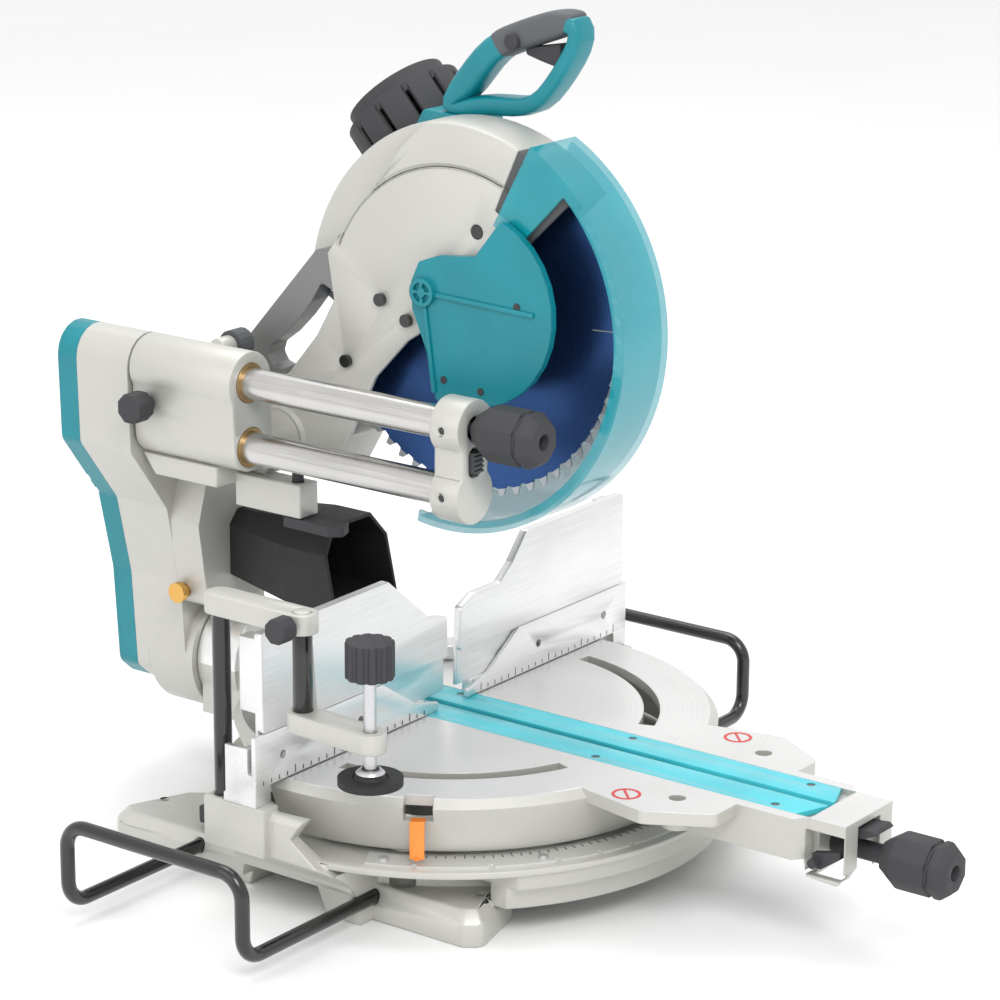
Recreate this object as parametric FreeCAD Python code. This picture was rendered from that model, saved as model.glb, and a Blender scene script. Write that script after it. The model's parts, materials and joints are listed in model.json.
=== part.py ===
import FreeCAD, Part
import math
import os

# Sliding compound miter saw, 305 mm blade, dual fixed rails.
# Millimetres. Origin: turntable (miter) axis on the bench plane.
# +X right along the fence, +Y behind the fence, +Z up, the user stands at -Y.

V = FreeCAD.Vector

# ---- driving dimensions -------------------------------------------------
TABLE_Z = 115.0            # bench to table top
TABLE_R = 228.0            # turntable radius at its widest
SKIRT_SLOPE = 15.0         # how far the turntable skirt draws in to its lower edge
TABLE_REAR_R = 188.0       # turntable radius behind the fence
RING_R = 248.0             # base ring outer radius
RING_REAR_R = 199.0        # base ring radius behind the fence
RING_INNER_R = 176.0
SWEEP_R = 241.0            # room for the turntable and its pointer inside the side blocks
RING_BOTTOM, RING_TOP = 43.0, 62.0
RING_CHORD = 158.0         # half width of the deep part of the ring, between the feet
FLANGE_T = 6.0             # ring flange that carries the scale plate over the feet
SCALE_T = 2.0              # thickness of the miter scale plate
GAP = 0.4                  # working gap between sliding castings
FIT = 0.05                 # radial running clearance of shafts

BLADE_R = 152.5            # saw blade radius
BLADE_T = 1.8              # blade body thickness
BLADE_TEETH = 60
BLADE_Y = -18.0            # raised blade centre
BLADE_Z = TABLE_Z + 345.0
CHOP_Y = 167.0             # chop pivot
CHOP_Z = TABLE_Z + 216.0

CASE_R = 165.0             # upper blade case
CASE_X = (-27.0, 24.0)
CASE_WALL = 4.5
GUARD_R = 177.0            # lower guard, outside the case
GUARD_X = (-33.0, 29.0)
GUARD_WALL = 3.0
GUARD_LOW, GUARD_HIGH = -100.0, 62.0   # sector ends, from the front upward

RAIL_X = -95.0
RAIL_R = 13.5
RAIL_BORE = 10.0
RAIL_Z = (TABLE_Z + 282.0, TABLE_Z + 226.0)
RAIL_FRONT, RAIL_REAR = -95.0, 310.0
BRACKET_DEPTH = 29.0
BRACKET_LIP = 5.0          # bracket metal in front of the rail ends
CARRIAGE_Y = (142.0, 255.0)
CARRIAGE_X = (-122.0, -68.0)

FENCE_T = 8.0
FENCE_FACE_T = 4.0         # front skin of the lower fence
LOWER_FENCE_H = 45.0       # lower fence height at its outer ends
UPPER_FENCE_H = 131.0      # top of the upper fences over the table
SUPPORT_TOP = 100.0        # top of the fence supports of the base

MOTOR_X = 84.0
MOTOR_TILT = 132.0         # motor direction in the blade plane, from the front
MOTOR_R = 52.0
GEAR_R, PINION_R = 36.0, 10.0   # bevel gear pair, pitch radii
GEAR_FACE, GEAR_GAP = 12.0, 0.4
HANDLE_X = (34.0, 62.0)

VISE_X, VISE_Y = -247.0, 45.0
VISE_POST_R = 7.5
BENCH_HOLE = (175.0, 84.0, 7.0)   # half spacings and radius
FOOT_HOLE = (155.0, -147.0, 194.0, 3.5)
HOLDER_Y = (-68.0, 117.0)  # legs of the stock holders
HOLDER_Z = 20.0
HOLDER_R = 6.0
THUMB_X = 182.0            # thumb screws that clamp the rear legs
BASE_SCREW = (248.0, 24.0)
FENCE_SCREW = (155.0, 24.0, 3.8)  # offset, height over the table and shank radius
FENCE_TRAVEL = 68.0
FOOT_H = 30.0
BLOCK_Y = (-68.0, 56.0)    # side blocks of the base
ARM_Y = (249.0, 316.0)     # tilting arm, front and rear


# ---- helpers ------------------------------------------------------------
def place(axis, a, b, along):
    """Map plane coordinates to space; axis is the extrusion direction."""
    if axis == "x":
        return V(along, a, b)
    if axis == "y":
        return V(a, along, b)
    return V(a, b, along)


def direction(axis):
    return {"x": V(1, 0, 0), "y": V(0, 1, 0), "z": V(0, 0, 1)}[axis]


def rounded_wire(axis, points, along, radius):
    """Closed outline with every corner rounded where its sides allow."""
    count = len(points)
    edges = []
    last_end = None
    first_start = None
    for i in range(count):
        corner = place(axis, points[i][0], points[i][1], along)
        before = place(axis, points[i - 1][0], points[i - 1][1], along)
        after = place(axis, points[(i + 1) % count][0], points[(i + 1) % count][1], along)
        to_before = before - corner
        to_after = after - corner
        half = to_before.getAngle(to_after) / 2.0
        setback = min(radius / math.tan(half), 0.45 * to_before.Length, 0.45 * to_after.Length)
        start = corner + V(to_before).normalize() * setback
        end = corner + V(to_after).normalize() * setback
        straight = abs(half - math.pi / 2.0) < 0.01
        if last_end is not None and (start - last_end).Length > 1e-6:
            edges.append(Part.LineSegment(last_end, start).toShape())
        if first_start is None:
            first_start = start
        if straight:
            edges.append(Part.LineSegment(start, end).toShape())
        else:
            inward = (V(to_before).normalize() + V(to_after).normalize()).normalize()
            arc_r = setback * math.tan(half)
            middle = corner + inward * (arc_r / math.sin(half) - arc_r)
            edges.append(Part.Arc(start, middle, end).toShape())
        last_end = end
    if (first_start - last_end).Length > 1e-6:
        edges.append(Part.LineSegment(last_end, first_start).toShape())
    return Part.Wire(edges)


def plate(axis, points, start, end, radius=0.0):
    """Prism of an outline between two stations along an axis."""
    if radius > 0:
        wire = rounded_wire(axis, points, start, radius)
    else:
        ring = [place(axis, a, b, start) for a, b in points]
        wire = Part.makePolygon(ring + [ring[0]])
    return Part.Face(wire).extrude(direction(axis) * (end - start))


def loft(axis, lower, upper, start, end):
    """Straight loft between two outlines with the same number of corners."""
    wires = []
    for points, along in ((lower, start), (upper, end)):
        ring = [place(axis, a, b, along) for a, b in points]
        wires.append(Part.makePolygon(ring + [ring[0]]))
    return Part.makeLoft(wires, True, True)


def box(x, y, z):
    return Part.makeBox(x[1] - x[0], y[1] - y[0], z[1] - z[0], V(x[0], y[0], z[0]))


def rod(axis, a, b, radius, start, end):
    """Cylinder along an axis; a and b are its plane coordinates."""
    return Part.makeCylinder(radius, end - start, place(axis, a, b, start), direction(axis))


def tube(axis, a, b, outer, inner, start, end):
    return rod(axis, a, b, outer, start, end).cut(rod(axis, a, b, inner, start, end))


def cone(axis, a, b, r1, r2, start, end):
    return Part.makeCone(r1, r2, end - start, place(axis, a, b, start), direction(axis))


def hexagon(axis, a, b, across, start, end, sides=6):
    r = across / 2.0 / math.cos(math.pi / sides)
    turns = [2.0 * math.pi * (i + 0.5) / sides for i in range(sides)]
    return plate(axis, [(a + r * math.cos(t), b + r * math.sin(t)) for t in turns], start, end)


def join(first, *others):
    """Fuse pieces into one solid."""
    result = first.multiFuse(list(others)) if others else first
    return result.removeSplitter()


def shrink(points, amount):
    """Outline moved in by roughly the given amount."""
    ca = sum(p[0] for p in points) / len(points)
    cb = sum(p[1] for p in points) / len(points)
    result = []
    for a, b in points:
        reach = math.hypot(a - ca, b - cb)
        k = (reach - amount) / reach
        result.append((ca + (a - ca) * k, cb + (b - cb) * k))
    return result


def polar(radius, degrees, centre=(BLADE_Y, BLADE_Z)):
    """Point in the blade plane; angles run from the front (-Y) upward."""
    t = math.radians(degrees)
    return (centre[0] - radius * math.cos(t), centre[1] + radius * math.sin(t))


def sector(inner, outer, low, high, x0, x1):
    """Annular sector about the blade axis between two stations in X."""
    def point(radius, degrees):
        y, z = polar(radius, degrees)
        return V(x0, y, z)
    mid = (low + high) / 2.0
    edges = [
        Part.Arc(point(outer, low), point(outer, mid), point(outer, high)).toShape(),
        Part.LineSegment(point(outer, high), point(inner, high)).toShape(),
        Part.Arc(point(inner, high), point(inner, mid), point(inner, low)).toShape(),
        Part.LineSegment(point(inner, low), point(outer, low)).toShape(),
    ]
    return Part.Face(Part.Wire(edges)).extrude(V(x1 - x0, 0, 0))


def mirror_x(shape):
    return shape.mirror(V(0, 0, 0), V(1, 0, 0))


def over_table(points):
    """Outline given as (position, height over the table)."""
    return [(a, b + TABLE_Z) for a, b in points]


def on_motor(radius, start, end):
    """Cylinder on the motor axis, between distances from the blade axis."""
    t = math.radians(MOTOR_TILT)
    along = V(0, -math.cos(t), math.sin(t))
    return Part.makeCylinder(radius, end - start, V(MOTOR_X, BLADE_Y, BLADE_Z) + along * start, along)


def octagon_grip(a, b, front, back):
    """Faceted screw grip along Y with a hollow nose and waisted neck."""
    body = hexagon("y", a, b, 44.0, front + 8.0, back - 14.0, 8)
    nose = loft_octagon(a, b, 32.0, 44.0, front, front + 8.0)
    tail = loft_octagon(a, b, 44.0, 26.0, back - 14.0, back)
    bore = rod("y", a, b, 6.5, front - 1.0, front + 26.0)
    groove = tube("y", a, b, 30.0, 20.6, front + 14.0, front + 17.0)
    return join(body, nose, tail).cut(bore).cut(groove)


def loft_octagon(a, b, across1, across2, start, end):
    rings = []
    for across in (across1, across2):
        r = across / 2.0 / math.cos(math.pi / 8)
        turns = [2.0 * math.pi * (i + 0.5) / 8 for i in range(8)]
        rings.append([(a + r * math.cos(t), b + r * math.sin(t)) for t in turns])
    return loft("y", rings[0], rings[1], start, end)


NODES = {}


def keep(name, *solids):
    NODES[name] = solids[0] if len(solids) == 1 else Part.makeCompound(list(solids))


# ---- base ---------------------------------------------------------------
def foot(outline, height, bevel):
    lower = plate("z", outline, 0.0, height - bevel, 9.0)
    upper = loft("z", outline, shrink(outline, bevel), height - bevel, height)
    return join(lower, upper.common(plate("z", outline, 0.0, height, 9.0)))


def make_base():
    foot_bevel, foot_inner = 11.0, 112.0
    front_foot = [(-foot_inner, -20), (-196, -20), (-196, -160), (-186, -173), (-124, -157),
                  (-foot_inner, -140)]
    rear_foot = [(-foot_inner, 50), (-200, 50), (-200, 208), (-188, 220), (-124, 198), (-foot_inner, 182)]
    front_side = box((-RING_R, RING_R), (-RING_R, BLOCK_Y[1]), (0, RING_TOP))
    between_feet = box((-RING_CHORD, RING_CHORD), (-RING_R, 0.0), (0, RING_TOP))
    flange = join(tube("z", 0, 0, RING_R, RING_INNER_R, RING_TOP - FLANGE_T, RING_TOP).common(front_side),
                  tube("z", 0, 0, RING_REAR_R, RING_INNER_R, RING_BOTTOM, RING_TOP))
    deep_ring = tube("z", 0, 0, RING_R - 3.0, RING_INNER_R, RING_BOTTOM, RING_TOP).common(between_feet)
    wall = join(tube("z", 0, 0, RING_R - 12.0, RING_R - 24.0, 24.0, RING_BOTTOM).common(between_feet),
                tube("z", 0, 0, RING_REAR_R, RING_REAR_R - 12.0, 24.0, RING_BOTTOM))
    inner_wall = tube("z", 0, 0, RING_INNER_R + 6.0, RING_INNER_R, FOOT_H - 14.0, RING_TOP)
    riser = join(inner_wall, tube("z", 0, 0, RING_REAR_R, RING_INNER_R, 16.0, RING_BOTTOM))
    hub = rod("z", 0, 0, 46.0, 0.0, 70.0)
    hub_bore = rod("z", 0, 0, 10.0 + FIT, 20.0, 71.0)
    pieces = [flange, deep_ring, wall, hub]
    for i in range(6):
        rib = box((30.0, RING_INNER_R + 12.0), (-4.0, 4.0), (HOLDER_Z + HOLDER_R + 4.0, RING_TOP))
        rib.rotate(V(0, 0, 0), V(0, 0, 1), 30.0 + 60.0 * i)
        pieces.append(rib)
    side_profile = [(-160, 0), (-212, 0), (-216, 26), (-226, 40), (-252, 58), (-252, 90),
                    (-248, 95), (-236, 95), (-233, 90), (-233, RING_TOP), (-190, RING_BOTTOM),
                     (-160, RING_BOTTOM)]
    side = plate("y", side_profile, *BLOCK_Y)
    side_nose = box((-270, -150), (-90, -44), (RING_TOP, 120))
    side_nose.rotate(V(-200, -60, 95), V(1, 0, 0), 35.0)
    side = side.cut(side_nose)
    support = box((-260.0, -233.0), (-8.0, BLOCK_Y[1]), (58.0, SUPPORT_TOP))
    hand_hold = plate("x", [(-34, -1), (-26, 26), (52, 26), (60, -1)], -230.0, -160.0, 0.0)
    for_mirror = [foot(front_foot, FOOT_H, foot_bevel), foot(rear_foot, FOOT_H, foot_bevel),
                  riser.common(box((-250, -foot_inner), (-220, 220), (0, RING_TOP)))]
    left = join(side, support, *for_mirror).cut(hand_hold)
    for i in range(9):
        if i != 4:
            left = left.cut(box((-216.0, -209.0), (-30.0 + 10.0 * i, -24.5 + 10.0 * i), (30.0, 38.0)))
    sweep = rod("z", 0, 0, SWEEP_R, RING_TOP, SUPPORT_TOP + 1)
    casting = join(left, mirror_x(left), *pieces).cut(hub_bore).cut(sweep)
    for sx in (-1, 1):
        casting = casting.cut(rod("z", sx * VISE_X, VISE_Y, VISE_POST_R + FIT, 60.0, SUPPORT_TOP + 1))
        casting = casting.cut(rod("z", sx * THUMB_X, HOLDER_Y[1], 4.0, HOLDER_Z, FOOT_H + 20.0))
        for y in HOLDER_Y:
            start, end = sorted((sx * 60.0, sx * 262.0))
            casting = casting.cut(rod("x", y, HOLDER_Z, HOLDER_R + FIT, start, end))
    bx, by, br = BENCH_HOLE
    fx, fy0, fy1, fr = FOOT_HOLE
    for sx in (-1, 1):
        for sy in (-1, 1):
            casting = casting.cut(rod("z", sx * bx, sy * by, br, -1.0, 200.0))
            casting = casting.cut(rod("z", sx * bx, sy * by, 11.0, 24.0, 200.0))
        for y in (fy0, fy1):
            casting = casting.cut(rod("z", sx * fx, y, fr, -1.0, 40.0))
    keep("base_casting", casting)

    plate_ring = tube("z", 0, 0, 240.0, 217.0, RING_TOP, RING_TOP + SCALE_T)
    front = [(0, 40)] + [(300 * math.sin(math.radians(a)), -300 * math.cos(math.radians(a)))
                         for a in (-68, -34, 0, 34, 68)]
    scale = plate_ring.common(plate("z", front, 0.0, 100.0))
    for angle in (-60, -45, -31.6, -22.5, -15, 0, 15, 22.5, 31.6, 45, 60):
        notch = box((-2.2, 2.2), (-242.0, -236.0), (RING_TOP - 1, RING_TOP + 5))
        notch.rotate(V(0, 0, 0), V(0, 0, 1), angle)
        scale = scale.cut(notch)
    screws = []
    for angle in (-66.5, -34.0, 0.0, 34.0, 66.5):
        t = math.radians(angle)
        x, y = 229.0 * math.sin(t), -229.0 * math.cos(t)
        if angle != 0.0:
            scale = scale.cut(rod("z", x, y, 2.0, RING_TOP - 1, RING_TOP + 9))
            screws.append(join(rod("z", x, y, 4.0, RING_TOP + SCALE_T, RING_TOP + SCALE_T + 1.6),
                               rod("z", x, y, 2.0, RING_TOP, RING_TOP + SCALE_T)))
    keep("miter_scale_plate", scale)
    for sx in (-1, 1):
        x, y = sx * BASE_SCREW[0], BASE_SCREW[1]
        screws.append(join(rod("z", x, y, 6.5, SUPPORT_TOP + 8.0, SUPPORT_TOP + 15.0),
                           rod("z", x, y, 4.0, SUPPORT_TOP, SUPPORT_TOP + 8.0)))
    keep("base_screws", *screws)
    bolt = join(rod("z", 0, 0, 10.0, 22.0, 98.0), hexagon("z", 0, 0, 30.0, 98.0, 104.0))
    keep("turntable_pivot_bolt", bolt)


# ---- fences -------------------------------------------------------------
LEFT_UPPER = [(-7.5, 6), (-7.5, 82), (-32, 87), (-88, 133), (-250, UPPER_FENCE_H)]
RIGHT_UPPER = [(10, 6), (12, 84), (31, 93), (67, 93), (85, 107), (106, UPPER_FENCE_H), (254, UPPER_FENCE_H)]
UPPER_STEP = LOWER_FENCE_H + GAP


def make_fences():
    low = TABLE_Z + 0.8
    top = TABLE_Z + LOWER_FENCE_H
    half = [(-20, low), (-20, TABLE_Z + 8), (-52, TABLE_Z + 16), (-96, top), (-260, top),
            (-260, SUPPORT_TOP), (-SWEEP_R, SUPPORT_TOP), (-SWEEP_R, low)]
    skin = plate("y", half, 0.0, FENCE_FACE_T)
    tongue_room = FENCE_T + GAP
    back = plate("y", [(-34, low), (-34, TABLE_Z + 12), (-260, TABLE_Z + 12), (-260, SUPPORT_TOP),
                       (-SWEEP_R, SUPPORT_TOP), (-SWEEP_R, low)], FENCE_FACE_T, tongue_room + 8.0)
    rear_wall = plate("y", [(-100, low), (-100, TABLE_Z + 34), (-260, TABLE_Z + 34), (-260, SUPPORT_TOP),
                            (-SWEEP_R, SUPPORT_TOP), (-SWEEP_R, low)], tongue_room, tongue_room + 6.0)
    end_foot = box((-260.0, -238.0), (tongue_room, 34.0), (SUPPORT_TOP, SUPPORT_TOP + 8.0))
    web = box((-260.0, -255.0), (tongue_room, 32.0), (SUPPORT_TOP, TABLE_Z + 34.0))
    left = join(skin, back, rear_wall, end_foot, web)
    left = left.cut(rod("z", -BASE_SCREW[0], BASE_SCREW[1], 4.0, SUPPORT_TOP - 1, SUPPORT_TOP + 9))
    screw_x, screw_z, screw_r = FENCE_SCREW
    left = left.cut(rod("y", -screw_x, TABLE_Z + screw_z, screw_r, FENCE_FACE_T, 30.0))
    for x in (-125.0, -225.0):
        left = left.cut(rod("y", x, TABLE_Z + 22.0, 3.5, -1.0, FENCE_FACE_T + 1.0))
    bridge = tube("z", 0, 0, 132.0, 116.0, TABLE_Z + 1.0, TABLE_Z + 13.0)
    bridge = bridge.common(box((-140, 140), (FENCE_FACE_T + 1, 140), (0, 300)))
    keep("lower_fence", join(left, mirror_x(left), bridge))

    for name, outline, inner, outer, side in (
            ("left_upper_fence", LEFT_UPPER, -24.0, -250.0, -1),
            ("right_upper_fence", RIGHT_UPPER, 28.0, 254.0, 1)):
        face = [(x, max(z, UPPER_STEP)) for x, z in outline] + [(outer, UPPER_STEP)]
        face[0] = (outline[0][0], UPPER_STEP)
        body = plate("y", over_table(face), 0.0, FENCE_T, 4.0)
        tongue = over_table([(outline[0][0], 14), (outline[0][0], UPPER_STEP + 10), (outer, UPPER_STEP + 10),
                             (outer, 14)])
        tongue_plate = plate("y", tongue, FENCE_FACE_T + GAP, FENCE_T)
        rim = box(sorted((outer, outer - side * 16.0)), (0.0, 24.0), (TABLE_Z + 62.0, TABLE_Z + 125.0))
        slot_z = (FENCE_SCREW[1] - 5.0, FENCE_SCREW[1] + 5.0)
        slot_x = (side * (FENCE_SCREW[0] - FENCE_TRAVEL - 8.0), side * (FENCE_SCREW[0] + 20.0))
        slot = plate("y", over_table([(slot_x[0], slot_z[0]), (slot_x[0], slot_z[1]), (slot_x[1], slot_z[1]),
                                      (slot_x[1], slot_z[0])]), 0.0, FENCE_T + 1, 4.9)
        keep(name, join(body, tongue_plate, rim).cut(slot))


def make_clamp_screws():
    """Lever screws behind the fence and thumb screws for the stock holders."""
    screws = []
    for side in (-1, 1):
        x = side * FENCE_SCREW[0]
        z = TABLE_Z + FENCE_SCREW[1]
        shank = rod("y", x, z, FENCE_SCREW[2], FENCE_FACE_T, 22.0)
        knob = hexagon("y", x, z, 22.0, 20.0, 32.0, 8)
        screws.append(join(shank, knob))
        holder_x = side * THUMB_X
        stem = rod("z", holder_x, HOLDER_Y[1], 3.9, HOLDER_Z + HOLDER_R + 0.4, FOOT_H + 10.0)
        head = hexagon("z", holder_x, HOLDER_Y[1], 20.0, FOOT_H + 8.0, FOOT_H + 20.0, 8)
        screws.append(join(stem, head))
    keep("clamp_screws", *screws)


def make_holders():
    """Bent rod stock holders: two legs in the base, two risers, one top bar."""
    bend, leg_z, bar_z, inner_x, outer_x = 20.0, HOLDER_Z, 90.0, -70.0, -356.0
    front_y, rear_y = HOLDER_Y
    corners = [V(inner_x, front_y, leg_z), V(outer_x, front_y, leg_z), V(outer_x, front_y, bar_z),
               V(outer_x, rear_y, bar_z), V(outer_x, rear_y, leg_z), V(inner_x, rear_y, leg_z)]
    edges = []
    last = corners[0]
    for i in range(1, len(corners) - 1):
        before = (corners[i - 1] - corners[i]).normalize()
        after = (corners[i + 1] - corners[i]).normalize()
        start = corners[i] + before * bend
        end = corners[i] + after * bend
        middle = corners[i] + (before + after).normalize() * (bend * (math.sqrt(2.0) - 1.0))
        edges.append(Part.LineSegment(last, start).toShape())
        edges.append(Part.Arc(start, middle, end).toShape())
        last = end
    edges.append(Part.LineSegment(last, corners[-1]).toShape())
    section = Part.Wire(Part.makeCircle(HOLDER_R, corners[0], V(1, 0, 0)))
    holder = Part.Wire(edges).makePipeShell([section], True, False)
    keep("left_holder", holder)
    keep("right_holder", mirror_x(holder))


# ---- turntable ----------------------------------------------------------
BOARD_HALF = 35.0
BOARD_Y = (-382.0, 40.0)
BOARD_T = 5.0
KERF_HALF = 4.3            # lets the tilted blade through
EAR_HOLE = (64.0, -275.0, 7.0)
ARM_HALF = 46.0
FRONT_Y = -415.0
GRIP_Z = TABLE_Z - 31.0
BEVEL_HUB_R = 50.0
POINTER_ANGLE = -59.6      # direction of the miter pointer, from the front
STOP_BUTTON_Z = TABLE_Z + 70.0


def make_turntable():
    foot_z = RING_TOP + SCALE_T + 2.6
    discs = []
    for r, y0, y1 in ((TABLE_R, -TABLE_R, 12.0), (TABLE_REAR_R, 0.0, TABLE_R)):
        foot_r = r - SKIRT_SLOPE
        profile = [(0, foot_z + 18), (0, TABLE_Z), (r - 7, TABLE_Z), (r, TABLE_Z - 7), (foot_r, foot_z),
                   (foot_r - 6, foot_z), (r - 12, TABLE_Z - 9), (46, TABLE_Z - 9), (46, foot_z + 18)]
        ring = [V(a, 0, z) for a, z in profile]
        disc = Part.Face(Part.makePolygon(ring + [ring[0]])).revolve(V(0, 0, 0), V(0, 0, 1), 360)
        discs.append(disc.common(box((-TABLE_R, TABLE_R), (y0, y1), (0, TABLE_Z))))
    pieces = discs + [tube("z", 0, 0, 46.0, 20.0, 70.0 + GAP, foot_z + 19)]
    for i in range(8):
        rib = box((40.0, TABLE_REAR_R - 12.0), (-3.0, 3.0), (foot_z + 14.0, TABLE_Z - 8))
        rib.rotate(V(0, 0, 0), V(0, 0, 1), 22.5 + 45.0 * i)
        pieces.append(rib)
    ears = [(-60, -150), (-93, -203), (-106, -268), (-76, -320),
            (76, -320), (106, -268), (93, -203), (60, -150)]
    pieces.append(plate("z", ears, TABLE_Z - 11.0, TABLE_Z, 10.0))
    arm = plate("z", [(-ARM_HALF, -195), (-ARM_HALF, -372), (-36, -380), (-36, FRONT_Y),
                      (36, FRONT_Y), (36, -380), (ARM_HALF, -372), (ARM_HALF, -195)],
                TABLE_Z - 35.0, TABLE_Z)
    front_box = plate("x", over_table([(-374, -20), (-380, -50), (-408, -52), (FRONT_Y, -40), (FRONT_Y, -20)]),
                      -36.0, 36.0)
    pieces += [arm, front_box]
    for side in (-1, 1):
        pieces.append(rod("z", side * EAR_HOLE[0], EAR_HOLE[1], 12.0, TABLE_Z - 24.0, TABLE_Z))
    saddle = box((-46.0, 46.0), (180.0, 246.0), (foot_z + 1, TABLE_Z))
    pieces += [saddle, rod("y", 0, TABLE_Z, BEVEL_HUB_R, 204.0, ARM_Y[0] - 1.0)]
    table = join(*pieces)
    cavity = plate("z", [(-40, -225), (-40, -366), (40, -366), (40, -225)], TABLE_Z - 36.0, TABLE_Z - 11.0)
    box_cavity = box((-30, 30), (-409, -384), (TABLE_Z - 60, TABLE_Z - 8))
    front_window = box((-17, 17), (FRONT_Y - 1, -405), (TABLE_Z - 60, TABLE_Z - 6))
    board_seat = box((-BOARD_HALF - GAP, BOARD_HALF + GAP), BOARD_Y, (TABLE_Z - BOARD_T - 0.2, TABLE_Z + 60))
    saw_slot = box((-13, 13), (BOARD_Y[0] + 16, BOARD_Y[1] - 12), (TABLE_Z - 30, TABLE_Z + 1))
    for cutter in (cavity, box_cavity, front_window, board_seat):
        table = table.cut(cutter)
    hub_core = rod("z", 0, 0, 19.0, 60.0, 98.0)
    table = table.cut(saw_slot.cut(hub_core)).cut(rod("z", 0, 0, 20.0, 97.0, TABLE_Z - BOARD_T))
    table = join(table, tube("z", 0, 0, 30.0, 10.0 + FIT, 70.0 + GAP, 98.0)).cut(
        rod("z", 0, 0, 10.0 + FIT, 60.0, 99.0))
    for side in (-1, 1):
        table = table.cut(rod("z", side * EAR_HOLE[0], EAR_HOLE[1], EAR_HOLE[2], 60.0, TABLE_Z + 1))
        # curved chip slots through the top, one each side of the saw kerf
        slot = tube("z", 0, 0, 178.0, 164.0, TABLE_Z - 12.0, TABLE_Z + 1.0)
        wedge = plate("z", [(0, 0), (side * 400, -40), (side * 400, -400), (side * 150, -400)], 0, 200)
        table = table.cut(slot.common(wedge))
    notch = box((-12, 12), (-232, -214), (TABLE_Z - 19, TABLE_Z + 1))
    notch.rotate(V(0, 0, 0), V(0, 0, 1), POINTER_ANGLE)
    table = table.cut(notch)
    table = table.cut(rod("y", 0, TABLE_Z, 12.0, 203.0, 260.0))
    table = table.cut(rod("y", 0, GRIP_Z, 8.0 + FIT, FRONT_Y - 2, -360.0))
    side_bay = box((-37, -24), (-414, -379), (TABLE_Z - 48, TABLE_Z - 10))
    table = table.cut(side_bay)
    keep("turntable", table)

    boards = []
    for side in (-1, 1):
        corners = [(side * KERF_HALF, BOARD_Y[0] + 2), (side * BOARD_HALF, BOARD_Y[0] + 14),
                   (side * BOARD_HALF, BOARD_Y[1]), (side * KERF_HALF, BOARD_Y[1])]
        board = plate("z", corners, TABLE_Z - BOARD_T, TABLE_Z)
        for y in (-344.0, -169.0, 12.0):
            board = board.cut(rod("z", side * 27.0, y, 3.6, TABLE_Z - 2.4, TABLE_Z + 1))
        boards.append(board)
    keep("kerf_boards", *boards)
    screws = [rod("z", side * 27.0, y, 3.5, TABLE_Z - 2.4, TABLE_Z - 0.6)
              for side in (-1, 1) for y in (-344.0, -169.0, 12.0)]
    keep("kerf_board_screws", *screws)

    pointer = join(box((-6, 6), (-233, -230.5), (TABLE_Z - 48, TABLE_Z - 16)),
                   box((-6, 6), (-233, -220), (TABLE_Z - 19, TABLE_Z - 17)),
                   plate("z", [(-6, -230.5), (6, -230.5), (0, -238)], TABLE_Z - 48, TABLE_Z - 46))
    pointer.rotate(V(0, 0, 0), V(0, 0, 1), POINTER_ANGLE)
    keep("miter_pointer", pointer)

    grip = join(octagon_grip(0, GRIP_Z, -494.0, -432.0), rod("y", 0, GRIP_Z, 8.0, -433.0, -362.0))
    keep("miter_lock_grip", grip)
    lever = plate("x", over_table([(-404, -10), (-426, -8), (-430, -11), (-416.6, -17), (-404, -17)]),
                  -14.0, 14.0)
    lever = join(lever, rod("x", -404.0, TABLE_Z - 13.5, 3.5, -14.0, 14.0))
    keep("front_lock_lever", lever)
    latch = join(rod("x", -388.0, TABLE_Z - 36.0, 4.0, -42.0, -25.0),
                 plate("x", over_table([(-384, -30), (-384, -42), (-392, -42), (-409, -30), (-409, -24)]),
                       -34.0, -27.0))
    keep("positive_stop_lever", latch)
    pin = join(rod("y", 0, TABLE_Z, 12.0 - FIT, 206.0, 296.0), hexagon("y", 0, TABLE_Z, 30.0, 296.0, 306.0))
    keep("bevel_pivot_pin", pin)


# ---- tilting arm --------------------------------------------------------
BARREL_R = 27.0            # round top of the arm and the carriage, about the upper rail
BARREL_ARC = [(RAIL_X + BARREL_R * math.cos(math.radians(a)),
               RAIL_Z[0] + BARREL_R * math.sin(math.radians(a)))
              for a in range(180, -1, -20)]
ARM_OUTLINE = ([(-54, 100), (-60, 190), (-76, 262), (-120, 322)] + BARREL_ARC +
               [(-58, 372), (-40, 330), (30, 262), (48, 215), (54, 130), (40, 84), (-36, 84)])
COVER_T = 22.0
HOOD_Z = (TABLE_Z + 74.0, TABLE_Z + 146.0)
PORT_R, PORT_BORE_R = 27.0, 23.0
SOCKET_Y = 224.0


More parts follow.
